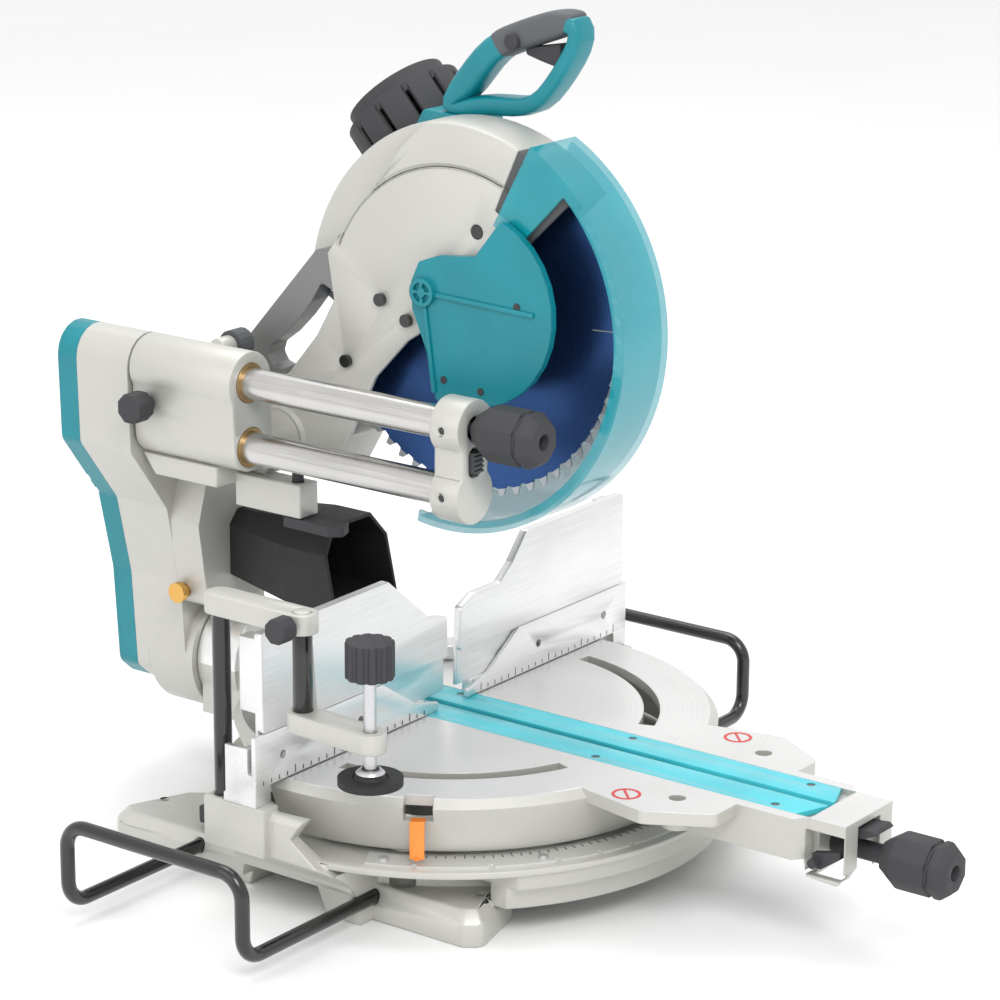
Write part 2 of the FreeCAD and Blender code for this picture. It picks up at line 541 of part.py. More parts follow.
def make_arm():
    front, rear = ARM_Y
    column = plate("y", ARM_OUTLINE, 257.0, rear, 10.0)
    shoulder = plate("y", [(-60, 172), (-72, 250), (-58, 296), (30, 262), (46, 215), (50, 172)],
                     SOCKET_Y, 258.0, 8.0)
    hub = rod("y", 0, TABLE_Z, 56.0, front, 300.0)
    arm = join(column, shoulder, hub)
    hollow = plate("y", shrink(ARM_OUTLINE, 22.0), 275.0, rear + 1, 0.0)
    bosses = []
    for z in RAIL_Z:
        bosses.append(rod("y", RAIL_X, z, RAIL_R + 7.0, 257.0, rear))
    bosses.append(rod("y", 0, TABLE_Z, 30.0, front, rear))
    arm = join(arm.cut(hollow), *bosses)
    for z in RAIL_Z:
        arm = arm.cut(rod("y", RAIL_X, z, RAIL_R, 250.0, RAIL_REAR))
    arm = arm.cut(rod("y", RAIL_X, RAIL_Z[0], 7.0, 250.0, rear + 1))
    arm = arm.cut(rod("y", 0, TABLE_Z, 12.0, front - 1, 296.0))
    arm = arm.cut(hexagon("y", 0, TABLE_Z, 30.6, 296.0, 330.0))
    duct = rod("y", 0, sum(HOOD_Z) / 2.0, 24.0, SOCKET_Y - 1, rear + 1)
    arm = arm.cut(duct)
    arm = arm.cut(rod("x", 250.0, STOP_BUTTON_Z, 6.0 + 0.2, -80.0, -40.0))
    keep("tilt_arm", arm)

    back = rear + COVER_T
    cover = plate("y", ARM_OUTLINE, rear, back, 12.0)
    cover = cover.cut(plate("y", shrink(ARM_OUTLINE, 5.0), rear - 1, back - 3.5))
    for z in (262.0, 276.0):
        cover = cover.cut(box((-130, 60), (back - 1.5, back + 1.0), (z, z + 6.0)))
    port_z = sum(HOOD_Z) / 2.0
    dust_port = tube("y", 0, port_z, PORT_R, PORT_BORE_R, back - 3.5, back + 24.0)
    cover = join(cover, dust_port).cut(rod("y", 0, port_z, PORT_BORE_R, rear, back + 25.0))
    keep("rear_cover", cover)

    low, high = HOOD_Z
    mouth = [(-43, low), (-43, high - 22), (-26, high), (26, high), (43, high - 22), (43, low)]
    throat = [(-31, low + 8), (-31, high - 18), (-20, high - 6), (20, high - 6), (31, high - 18), (31, low + 8)]
    outer = join(loft("y", mouth, mouth, 94.0, 150.0), loft("y", mouth, throat, 150.0, SOCKET_Y))
    inner = join(loft("y", shrink(mouth, 3.5), shrink(mouth, 3.5), 90.0, 150.0),
                 loft("y", shrink(mouth, 3.5), shrink(throat, 4.0), 150.0, SOCKET_Y + 1))
    slant = plate("x", [(80, low - 5), (94, low - 5), (112, high + 5), (80, high + 5)], -60.0, 60.0)
    keep("dust_hood", outer.cut(inner).cut(slant))

    rail_start = RAIL_FRONT + BRACKET_LIP
    rails = [tube("y", RAIL_X, z, RAIL_R, RAIL_BORE, rail_start, RAIL_REAR) for z in RAIL_Z]
    keep("guide_rails", *rails)
    bracket_back = RAIL_FRONT + BRACKET_DEPTH
    eye_r = RAIL_R + 10.5
    eyes = [rod("y", RAIL_X, z, eye_r, RAIL_FRONT, bracket_back) for z in RAIL_Z]
    web = box((RAIL_X - 17, RAIL_X + 17), (RAIL_FRONT, bracket_back), (RAIL_Z[1], RAIL_Z[0]))
    bracket = join(web, *eyes)
    for z in RAIL_Z:
        bracket = bracket.cut(rod("y", RAIL_X, z, RAIL_R, rail_start, bracket_back + 1))
        bracket = bracket.cut(rod("x", RAIL_FRONT + 17.0, z, 3.0, RAIL_X - 40.0, RAIL_X))
    bracket = bracket.cut(rod("y", RAIL_X, RAIL_Z[0], RAIL_BORE, RAIL_FRONT - 1, rail_start + 1))
    mid = sum(RAIL_Z) / 2.0
    oval = plate("y", [(RAIL_X - 8, mid - 12), (RAIL_X - 8, mid + 12),
                       (RAIL_X + 8, mid + 12), (RAIL_X + 8, mid - 12)],
                 RAIL_FRONT - 1, RAIL_FRONT + 16.0, 6.0)
    keep("rail_bracket", bracket.cut(oval))
    keep("set_screws", *[rod("x", RAIL_FRONT + 17.0, z, 3.0, RAIL_X - eye_r + 2.0, RAIL_X - RAIL_R)
                         for z in RAIL_Z])
    lock_rod = rod("y", RAIL_X, RAIL_Z[0], 5.0, -105.0, rear - 2.0)
    collar = rod("y", RAIL_X, RAIL_Z[0], 9.5, -101.0, RAIL_FRONT - 1.0)
    grip = join(octagon_grip(RAIL_X, RAIL_Z[0], -163.0, -100.0), collar)
    keep("bevel_lock_grip", grip.cut(lock_rod), lock_rod)
    lever = box((RAIL_X - 6, RAIL_X + 6), (RAIL_FRONT - 4, RAIL_FRONT + 10), (mid - 8, mid + 9))
    for i in range(4):
        lever = lever.cut(box((RAIL_X - 7, RAIL_X + 7), (RAIL_FRONT - 5, RAIL_FRONT - 2.5),
                              (mid - 6 + 4 * i, mid - 4.4 + 4 * i)))
    keep("bevel_release_lever", lever)
    button = join(rod("x", 250.0, STOP_BUTTON_Z, 6.0, -70.0, -44.0),
                  rod("x", 250.0, STOP_BUTTON_Z, 9.0, -74.0, -68.0))
    keep("bevel_stop_button", button)


# ---- carriage -----------------------------------------------------------
BUSH_R = 17.0
BUSH_LENGTH = 28.0
HUB_R = 28.0
HUB_X = (-32.0, 44.0)
LUG_Z = (TABLE_Z + 167.0, TABLE_Z + 196.0)
STOP_PIN = (190.0, TABLE_Z + 301.5)   # pull pin on the inner side of the carriage


def make_carriage():
    front, rear = CARRIAGE_Y
    left, right = CARRIAGE_X
    bottom = RAIL_Z[1] - 21.0
    outline = [(left + 6, RAIL_Z[1]), (left + 3, RAIL_Z[0]), (right, RAIL_Z[0]), (right, bottom),
               (RAIL_X, bottom)]
    body = join(plate("y", outline, front, rear, 0.0), rod("y", RAIL_X, RAIL_Z[0], BARREL_R, front, rear),
                rod("y", RAIL_X, RAIL_Z[1], 21.0, front, rear))
    waist = plate("x", over_table([(170, 188), (170, 206), (254, 206), (240, 188)]), left + 14, right - 4)
    ears = []
    for x0, x1 in ((right - 2, HUB_X[0] - 1.0), (HUB_X[1] + 1.0, HUB_X[1] + 22.0)):
        eye = rod("x", CHOP_Y, CHOP_Z, 27.0, x0, x1)
        strut = box((x0, x1), (CHOP_Y, 230.0), (CHOP_Z - 27.0, CHOP_Z + 24.0))
        ears += [eye, strut]
    bridge = box((right - 2, HUB_X[1] + 22.0), (CHOP_Y + 34.0, 230.0), (CHOP_Z - 16.0, CHOP_Z + 24.0))
    lug = box((-82.0, -58.0), (100.0, 172.0), LUG_Z)
    carriage = join(body, bridge, lug, *ears)
    carriage = join(carriage, waist)
    for z in RAIL_Z:
        carriage = carriage.cut(rod("y", RAIL_X, z, RAIL_R + 1.2, front - 1, rear + 1))
        for y0 in (front, rear - BUSH_LENGTH):
            carriage = carriage.cut(rod("y", RAIL_X, z, BUSH_R, y0 - 0.01, y0 + BUSH_LENGTH))
    carriage = carriage.cut(rod("x", CHOP_Y, CHOP_Z, 8.0, right - 4, HUB_X[1] + 30.0))
    carriage = carriage.cut(rod("x", 236.0, sum(RAIL_Z) / 2.0, 4.0, left - 1, left + 14))
    carriage = carriage.cut(rod("z", -70.0, 112.0, 5.0 + FIT, LUG_Z[0] - 1, LUG_Z[1] + 1))
    boss = rod("x", *STOP_PIN, 9.0, right - 14.0, right + 3.0)
    carriage = join(carriage, boss).cut(rod("x", *STOP_PIN, 4.0 + FIT, right - 12.0, right + 4.0))
    carriage = carriage.cut(rod("y", RAIL_X, RAIL_Z[0], RAIL_R + 1.2, front - 1, rear + 1))
    keep("slide_carriage", carriage)
    bushes = [tube("y", RAIL_X, z, BUSH_R, RAIL_R + FIT, y0, y0 + BUSH_LENGTH)
              for z in RAIL_Z for y0 in (front, rear - BUSH_LENGTH)]
    keep("rail_bushes", *bushes)
    z = sum(RAIL_Z) / 2.0
    knob = join(hexagon("x", 236.0, z, 25.0, left - 22.0, left - 4.0, 8),
                rod("x", 236.0, z, 8.0, left - 5.0, left + 2.5),
                rod("x", 236.0, z, 3.9, left - 4.0, left + 11.0))
    keep("slide_lock_knob", knob)
    pin = join(rod("x", *STOP_PIN, 4.0, right - 11.0, right + 6.0),
               hexagon("x", *STOP_PIN, 25.0, right + 3.4, right + 20.0, 16))
    keep("stopper_pin", pin)
    arm = join(rod("z", -70.0, 112.0, 5.0, LUG_Z[0] - 2.0, LUG_Z[1] + 10.0),
               plate("z", [(-80, 122), (-60, 122), (-58, 66), (-74, 60), (-82, 70)],
                     LUG_Z[0] - 10.0, LUG_Z[0] - 1.0, 4.0))
    keep("stopper_arm", arm)
    keep("chop_shaft", rod("x", CHOP_Y, CHOP_Z, 8.0, right - 2.0, HUB_X[1] + 24.0))


# ---- saw head -----------------------------------------------------------
COVER_AT = (-48.5, 364.0)  # centre of the round front of the centre cover, over the table
COVER_R = 82.0


def make_head():
    arc = [polar(CASE_R, a) for a in range(44, 101, 4)]
    inner = [polar(26.0, a) for a in (200, 165, 130, 90, 44)]
    outline = arc + over_table([(34, 486), (62, 450), (114, 386), (107, 346), (126, 313), (157, 276), (190, 250),
                                (198, 226), (186, 196), (158, 188), (112, 192), (92, 226), (62, 286),
                                (28, 322)]) + inner
    shell = plate("x", outline, CASE_X[0], CASE_X[1])
    hub = rod("x", CHOP_Y, CHOP_Z, HUB_R, HUB_X[0], HUB_X[1])
    disc = rod("x", BLADE_Y, BLADE_Z, 40.0, CASE_X[1] - CASE_WALL, CASE_X[1])
    case = join(shell, hub).cut(rod("x", BLADE_Y, BLADE_Z, CASE_R - 6.0, CASE_X[0] + CASE_WALL,
                                    CASE_X[1] - CASE_WALL))
    rear_wall = join(sector(112.0, CASE_R, 100.0, 178.0, -9.0, -5.0),
                     sector(CASE_R - 6.0, CASE_R, 100.0, 178.0, -9.0, 20.0),
                     sector(60.0, CASE_R, 100.0, 178.0, CASE_X[1] - CASE_WALL, CASE_X[1]))
    case = join(case, disc, rear_wall)
    groove = sector(128.0, 131.0, 60.0, 158.0, CASE_X[0] - 0.1, CASE_X[0] + 1.2)
    case = case.cut(groove)
    case = case.cut(rod("x", BLADE_Y, BLADE_Z, 24.0, 0.0, 40.0))
    case = case.cut(rod("x", CHOP_Y, CHOP_Z, 8.0 + FIT, HUB_X[0] - 1, HUB_X[1] + 1))
    bolts = [polar(74.0, 173.0), polar(46.0, 186.0), polar(121.0, 204.0)]
    for y, z in bolts:
        case = case.cut(rod("x", y, z, 3.0, CASE_X[0] - 1, CASE_X[0] + CASE_WALL + 1))
    flush = polar(83.0, 72.0)
    case = case.cut(rod("x", flush[0], flush[1], 6.0, CASE_X[0] - 1, CASE_X[0] + 3.5))
    front_band = sector(108.0, CASE_R + 1, 44.0, 66.0, CASE_X[0] - 1, CASE_X[1] + 1)
    chip_guide = sector(60.0, 148.0, 196.0, 258.0, 14.5, CASE_X[1] - CASE_WALL)
    keep("front_case_cap", case.common(front_band), chip_guide)
    keep("blade_case", case.cut(front_band))
    screws = [join(rod("x", y, z, 5.5, CASE_X[0] - 4.0, CASE_X[0]),
                   rod("x", y, z, 3.0, CASE_X[0], CASE_X[0] + 4.0))
              for y, z in bolts]
    screws.append(rod("x", flush[0], flush[1], 6.0, CASE_X[0] + 0.5, CASE_X[0] + 3.5))
    keep("case_bolts", *screws)

    boss = rod("x", BLADE_Y, BLADE_Z, 37.9, CASE_X[1], 35.0)
    barrel = rod("x", BLADE_Y, BLADE_Z, 44.0, GUARD_X[1] + 1.5, MOTOR_X + 38.0)
    neck = on_motor(50.0, 0.0, 62.0)
    gear = join(boss, barrel, neck)
    cavity = join(rod("x", BLADE_Y, BLADE_Z, 40.0, 42.0, MOTOR_X + 24.0), on_motor(44.0, 0.0, 63.0))
    gear = gear.cut(cavity).cut(rod("x", BLADE_Y, BLADE_Z, 19.0, 0.0, 50.0))
    gear = gear.cut(rod("x", BLADE_Y, BLADE_Z, 16.0, 90.0, MOTOR_X + 34.0))
    keep("gear_housing", gear)
    housing = on_motor(MOTOR_R, 62.0, 165.0)
    bridge = plate("x", over_table([(58, 506), (8, 503), (-18, 430), (20, 400), (78, 470)]),
                   GUARD_X[1] + 4.0, 76.0, 6.0)
    housing = join(housing, bridge).cut(on_motor(MOTOR_R - 4.0, 61.0, 166.0))
    housing = housing.cut(on_motor(MOTOR_R + 4.0, 165.0, 240.0))
    keep("motor_housing", housing.cut(gear))
    cap = join(on_motor(MOTOR_R + 2.0, 165.0, 206.0), on_motor(MOTOR_R - 6.0, 206.0, 218.0))
    cap = cap.cut(on_motor(MOTOR_R - 5.0, 164.0, 203.0)).cut(on_motor(12.0, 200.0, 210.0))
    slots = []
    t = math.radians(MOTOR_TILT)
    along = V(0, -math.cos(t), math.sin(t))
    for i in range(12):
        slot = box((MOTOR_X + 36.0, MOTOR_X + 60.0), (BLADE_Y - 2.0, BLADE_Y + 2.0),
                   (BLADE_Z + 172.0, BLADE_Z + 197.0))
        slot.rotate(V(MOTOR_X, BLADE_Y, BLADE_Z), V(0, 0, 1), 30.0 * i + 15.0)
        slot.rotate(V(MOTOR_X, BLADE_Y, BLADE_Z), V(1, 0, 0), 90.0 - MOTOR_TILT)
        slots.append(slot)
    for slot in slots:
        cap = cap.cut(slot)
    keep("motor_end_cap", cap)
    keep("stator", on_motor(MOTOR_R - 4.0, 82.0, 150.0).cut(on_motor(31.0, 80.0, 152.0)))
    mesh = GEAR_R - GEAR_FACE
    start = V(MOTOR_X, BLADE_Y, BLADE_Z) + along * mesh
    tip_r = PINION_R * mesh / GEAR_R - GEAR_GAP
    pinion = Part.makeCone(tip_r, PINION_R - GEAR_GAP, GEAR_FACE, start, along)
    rotor = join(on_motor(6.0, 24.0, 208.0), on_motor(30.0, 86.0, 146.0), on_motor(38.0, 68.0, 76.0),
                 on_motor(14.0, 154.0, 178.0), pinion)
    keep("armature", rotor)
    bearings = [tube("x", BLADE_Y, BLADE_Z, 19.0, 10.0 + FIT, CASE_X[1] + 2.0, 36.0),
                tube("x", BLADE_Y, BLADE_Z, 16.0, 10.0 + FIT, MOTOR_X + 24.0, MOTOR_X + 34.0)]
    keep("head_bearings", *bearings)

    front_arc = [(COVER_AT[0] - COVER_R * math.cos(math.radians(a)),
                  COVER_AT[1] + COVER_R * math.sin(math.radians(a)))
                 for a in range(68, -101, -12)]
    back_edge = [(-12, 280), (-14, 298), (-2, 326), (11, 356), (12, 378), (4, 396), (-15, 403)]
    cover = over_table([(-53, 407)] + front_arc + back_edge)
    shell = plate("x", cover, -42.0, -35.0, 5.0)
    shell = shell.cut(plate("x", shrink(cover, 4.0), -39.5, -34.0, 2.0))
    hub_at = (-1.0, TABLE_Z + 371.0)
    shell = join(shell, rod("x", hub_at[0], hub_at[1], 12.0, -46.0, -39.0),
                 rod("x", hub_at[0], hub_at[1], 9.0, -40.0, CASE_X[0]))
    for i in range(4):
        vent = sector(4.0, 8.6, 12.0 + 90.0 * i, 78.0 + 90.0 * i, -47.0, -43.0)
        vent.translate(V(0, hub_at[0] - BLADE_Y, hub_at[1] - BLADE_Z))
        shell = shell.cut(vent)
    keep("centre_cover", shell)

    grip_outer = over_table([(108, 390), (126, 387), (208, 295), (211, 284), (196, 267), (160, 262), (134, 296),
                             (100, 330), (98, 352)])
    grip_inner = over_table([(121, 359), (132, 341), (146, 324), (163, 307), (178, 296), (181, 287), (176, 279),
                             (166, 276), (150, 284), (124, 313), (102, 338), (104, 352)])
    loop = plate("x", grip_outer, -26.0, -4.0, 8.0).cut(plate("x", grip_inner, -27.0, 0.0, 4.0))
    keep("carry_handle", loop.cut(case))


LOCK_OFF = (-35.0, TABLE_Z + 571.0)


def make_main_handle():
    x0, x1 = HANDLE_X
    mid = (x0 + x1) / 2.0
    outer = over_table([(46, 506), (-14, 574), (-94, 603), (-101, 592), (-95, 568), (-52, 510), (8, 505)])
    loop = over_table([(6, 525), (-10, 556), (-76, 574), (-50, 526)])
    body = plate("x", outer, x0, x1, 10.0).cut(plate("x", loop, x0 - 1, x1 + 1, 8.0))
    core = plate("x", over_table([(-20, 564), (-88, 588), (-86, 579), (-20, 560)]), x0 + 4, x1 - 4)
    body = body.cut(core)
    trigger_slot = box((mid - 8.5, mid + 8.5), (-82.0, -40.0), (TABLE_Z + 546.0, TABLE_Z + 580.0))
    body = body.cut(trigger_slot).cut(rod("x", *LOCK_OFF, 7.3, x0 - 1, mid - 6))
    halves = [body.common(box(side, (-200, 200), (0, 900))) for side in ((x0 - 1, mid), (mid, x1 + 1))]
    keep("handle_shells", *halves)
    sleeve = plate("x", over_table([(-20, 579), (-96, 607), (-105, 595), (-101, 582), (-84, 584), (-30, 567)]),
                   x0 - 2, x1 + 2, 5.0)
    sleeve = sleeve.cut(plate("x", outer, x0, x1, 10.0)).cut(rod("x", *LOCK_OFF, 9.0, x0 - 3, mid))
    keep("handle_grip", sleeve)
    trigger = plate("x", over_table([(-43, 566), (-43, 560), (-58, 556), (-76, 552), (-78, 560), (-76, 572)]),
                    mid - 7.5, mid + 7.5, 1.5)
    trigger = join(trigger, rod("x", -45.0, TABLE_Z + 563.0, 3.0, mid - 7.5, mid + 7.5))
    keep("trigger", trigger)
    keep("lock_off_button", rod("x", *LOCK_OFF, 7.0, x0 - 5.0, x0 + 5.0))


# ---- guard and blade ----------------------------------------------------
GUARD_BAND = 10.0          # near side of the guard, open inside this band
FLAP_FROM = 46.0           # from here up the near side is closed


def make_guard():
    low, high = GUARD_LOW, GUARD_HIGH
    left = join(sector(GUARD_R - GUARD_BAND, GUARD_R, low, high, GUARD_X[0], GUARD_X[0] + GUARD_WALL),
                sector(100.0, GUARD_R, FLAP_FROM, high, GUARD_X[0], GUARD_X[0] + GUARD_WALL))
    right = sector(40.0, GUARD_R, low, high, GUARD_X[1] - GUARD_WALL, GUARD_X[1])
    rim = sector(GUARD_R - 4.0, GUARD_R, low, high, GUARD_X[0], GUARD_X[1])
    ring = tube("x", BLADE_Y, BLADE_Z, 56.0, 38.0, GUARD_X[1] - GUARD_WALL, GUARD_X[1])
    keep("lower_guard", join(rim, left, right, ring))


def make_blade():
    gullet = BLADE_R - 8.0
    points = []
    for i in range(BLADE_TEETH):
        base = 360.0 / BLADE_TEETH * i
        points += [polar(BLADE_R, base), polar(BLADE_R - 1.0, base + 1.6), polar(gullet, base + 3.2),
                   polar(gullet + 0.8, base + 5.4)]
    half = BLADE_T / 2.0
    disc = plate("x", points, -half, half).cut(rod("x", BLADE_Y, BLADE_Z, 15.0, -2.0, 2.0))
    for i in range(4):
        slot = sector(gullet - 22.0, gullet + 1.0, 90.0 * i + 3.0, 90.0 * i + 3.5, -2.0, 2.0)
        disc = disc.cut(slot)
    keep("saw_blade", disc)
    inner = join(rod("x", BLADE_Y, BLADE_Z, 22.0, half, 9.0), rod("x", BLADE_Y, BLADE_Z, 15.0, -half, half))
    inner = inner.cut(rod("x", BLADE_Y, BLADE_Z, 5.0, -2.0, 10.0))
    outer = rod("x", BLADE_Y, BLADE_Z, 25.0, -6.0, -half).cut(rod("x", BLADE_Y, BLADE_Z, 5.0, -8.0, 2.0))
    keep("blade_flanges", inner, outer)
    bolt = join(hexagon("x", BLADE_Y, BLADE_Z, 17.0, -13.0, -6.0), rod("x", BLADE_Y, BLADE_Z, 5.0, -6.5, 22.0))
    keep("arbor_bolt", bolt)
    spindle = join(rod("x", BLADE_Y, BLADE_Z, 10.0, 9.0, MOTOR_X + 33.0),
                   rod("x", BLADE_Y, BLADE_Z, GEAR_R, MOTOR_X - PINION_R - 8.0, MOTOR_X - PINION_R),
                   cone("x", BLADE_Y, BLADE_Z, GEAR_R, GEAR_R - GEAR_FACE, MOTOR_X - PINION_R,
                        MOTOR_X - PINION_R * (GEAR_R - GEAR_FACE) / GEAR_R))
    keep("spindle", spindle.cut(rod("x", BLADE_Y, BLADE_Z, 5.0, 8.0, 22.0)))


# ---- vise ---------------------------------------------------------------
def bar(x0, y0, x1, y1, half, z0, z1):
    """Flat arm with round ends between two vertical axes."""
    length = math.hypot(x1 - x0, y1 - y0)
    nx, ny = -(y1 - y0) / length * half, (x1 - x0) / length * half
    outline = [(x0 + nx, y0 + ny), (x1 + nx, y1 + ny), (x1 - nx, y1 - ny), (x0 - nx, y0 - ny)]
    web = plate("z", outline, z0, z1)
    return join(web, rod("z", x0, y0, half, z0, z1), rod("z", x1, y1, half, z0, z1))


def make_vise():
    r = VISE_POST_R
    rod_y, screw_x, screw_y = VISE_Y - 85.0, VISE_X - 5.0, VISE_Y - 157.0
    upper, lower = (TABLE_Z + 140.0, TABLE_Z + 157.0), (TABLE_Z + 58.0, TABLE_Z + 75.0)
    keep("vise_post", rod("z", VISE_X, VISE_Y, r, 61.0, upper[1] - 2.0))
    arm = bar(VISE_X, VISE_Y, VISE_X, rod_y, 13.0, *upper)
    arm = arm.cut(rod("z", VISE_X, VISE_Y, r, upper[0] - 1, upper[1] - 2.0))
    arm = arm.cut(rod("z", VISE_X, rod_y, r + FIT, upper[0] - 1, upper[1] + 1))
    arm = arm.cut(rod("x", rod_y, sum(upper) / 2.0, 3.0, VISE_X - 20.0, VISE_X))
    keep("vise_upper_arm", arm)
    z = sum(upper) / 2.0
    keep("vise_arm_screw", join(rod("x", rod_y, z, 3.0 - FIT, VISE_X - 20.0, VISE_X - r - 0.5),
                                hexagon("x", rod_y, z, 20.0, VISE_X - 34.0, VISE_X - 18.0, 8)))
    low_arm = bar(VISE_X, rod_y, screw_x, screw_y, 13.0, *lower)
    low_arm = low_arm.cut(rod("z", VISE_X, rod_y, r, lower[0] + 3, 300.0))
    low_arm = low_arm.cut(rod("z", screw_x, screw_y, 5.0 + FIT, lower[0] - 1, lower[1] + 1))
    keep("vise_lower_arm", low_arm, rod("z", VISE_X, rod_y, r, lower[0] + 3.0, upper[1] + 1.0))
    knob_z = TABLE_Z + 119.0
    keep("vise_screw", rod("z", screw_x, screw_y, 5.0, TABLE_Z + 40.0, knob_z + 4.0))
    knob = rod("z", screw_x, screw_y, 19.5, knob_z, knob_z + 30.0)
    for i in range(12):
        t = 2.0 * math.pi * i / 12.0
        flute_x = screw_x + 20.5 * math.cos(t)
        flute_y = screw_y + 20.5 * math.sin(t)
        knob = knob.cut(rod("z", flute_x, flute_y, 2.6, knob_z - 1, knob_z + 31))
    keep("vise_knob", knob.cut(rod("z", screw_x, screw_y, 5.0, knob_z - 1, knob_z + 4.0)))
    pad = join(tube("z", screw_x, screw_y, 26.0, 14.0, TABLE_Z + 31.0, TABLE_Z + 37.0),
               cone("z", screw_x, screw_y, 16.0, 7.0, TABLE_Z + 33.0, TABLE_Z + 44.0))
    keep("vise_pad", pad.cut(rod("z", screw_x, screw_y, 5.0, TABLE_Z + 40.0, TABLE_Z + 60.0)))


def main():
    make_base()
    make_fences()
    make_clamp_screws()
    make_holders()
    make_turntable()
    make_arm()
    make_carriage()
    make_head()
    make_main_handle()
    make_guard()
    make_blade()
    make_vise()
    os.makedirs("parts", exist_ok=True)
    for name, shape in NODES.items():
        shape.exportStep(f"parts/{name}.step")
        print(name, len(shape.Solids), round(shape.Volume / 1000.0, 1), shape.isValid())
    print(len(NODES), "nodes")


main()
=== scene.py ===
"""Finishes, finished pieces and studio for a sliding compound miter saw."""

import json
import logging
import math
from dataclasses import dataclass
from enum import Enum
from typing import Iterable, Sequence

import bmesh
import bpy
from mathutils import Matrix, Vector


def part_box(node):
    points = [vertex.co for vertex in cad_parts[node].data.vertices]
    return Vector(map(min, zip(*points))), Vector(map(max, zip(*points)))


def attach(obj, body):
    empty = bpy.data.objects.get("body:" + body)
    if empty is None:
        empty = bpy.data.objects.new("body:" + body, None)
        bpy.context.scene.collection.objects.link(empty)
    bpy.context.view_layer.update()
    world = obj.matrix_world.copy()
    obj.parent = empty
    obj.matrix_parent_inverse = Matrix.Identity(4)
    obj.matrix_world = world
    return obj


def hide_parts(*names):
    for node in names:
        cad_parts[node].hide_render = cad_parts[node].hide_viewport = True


log = logging.getLogger("miter_saw")

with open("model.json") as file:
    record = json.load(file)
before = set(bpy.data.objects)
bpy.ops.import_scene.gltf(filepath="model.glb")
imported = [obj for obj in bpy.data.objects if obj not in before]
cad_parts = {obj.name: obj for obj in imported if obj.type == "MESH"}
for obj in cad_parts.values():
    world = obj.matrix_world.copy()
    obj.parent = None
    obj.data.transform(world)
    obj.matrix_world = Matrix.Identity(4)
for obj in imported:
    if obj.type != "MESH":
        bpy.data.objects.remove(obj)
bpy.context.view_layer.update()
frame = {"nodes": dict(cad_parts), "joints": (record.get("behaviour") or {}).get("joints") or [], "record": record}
MM = 0.001
SMOOTH_ANGLE = math.radians(32.0)

Socket = bpy.types.NodeSocket
Colour = tuple[float, float, float]
Point = tuple[float, float]


class Grain(Enum):
    """The way a metal surface was worked."""

    ALONG_X = (14.0, 900.0, 900.0)
    ALONG_Y = (900.0, 14.0, 900.0)
    RINGS_Z = (0.0, 0.0, 1.0)


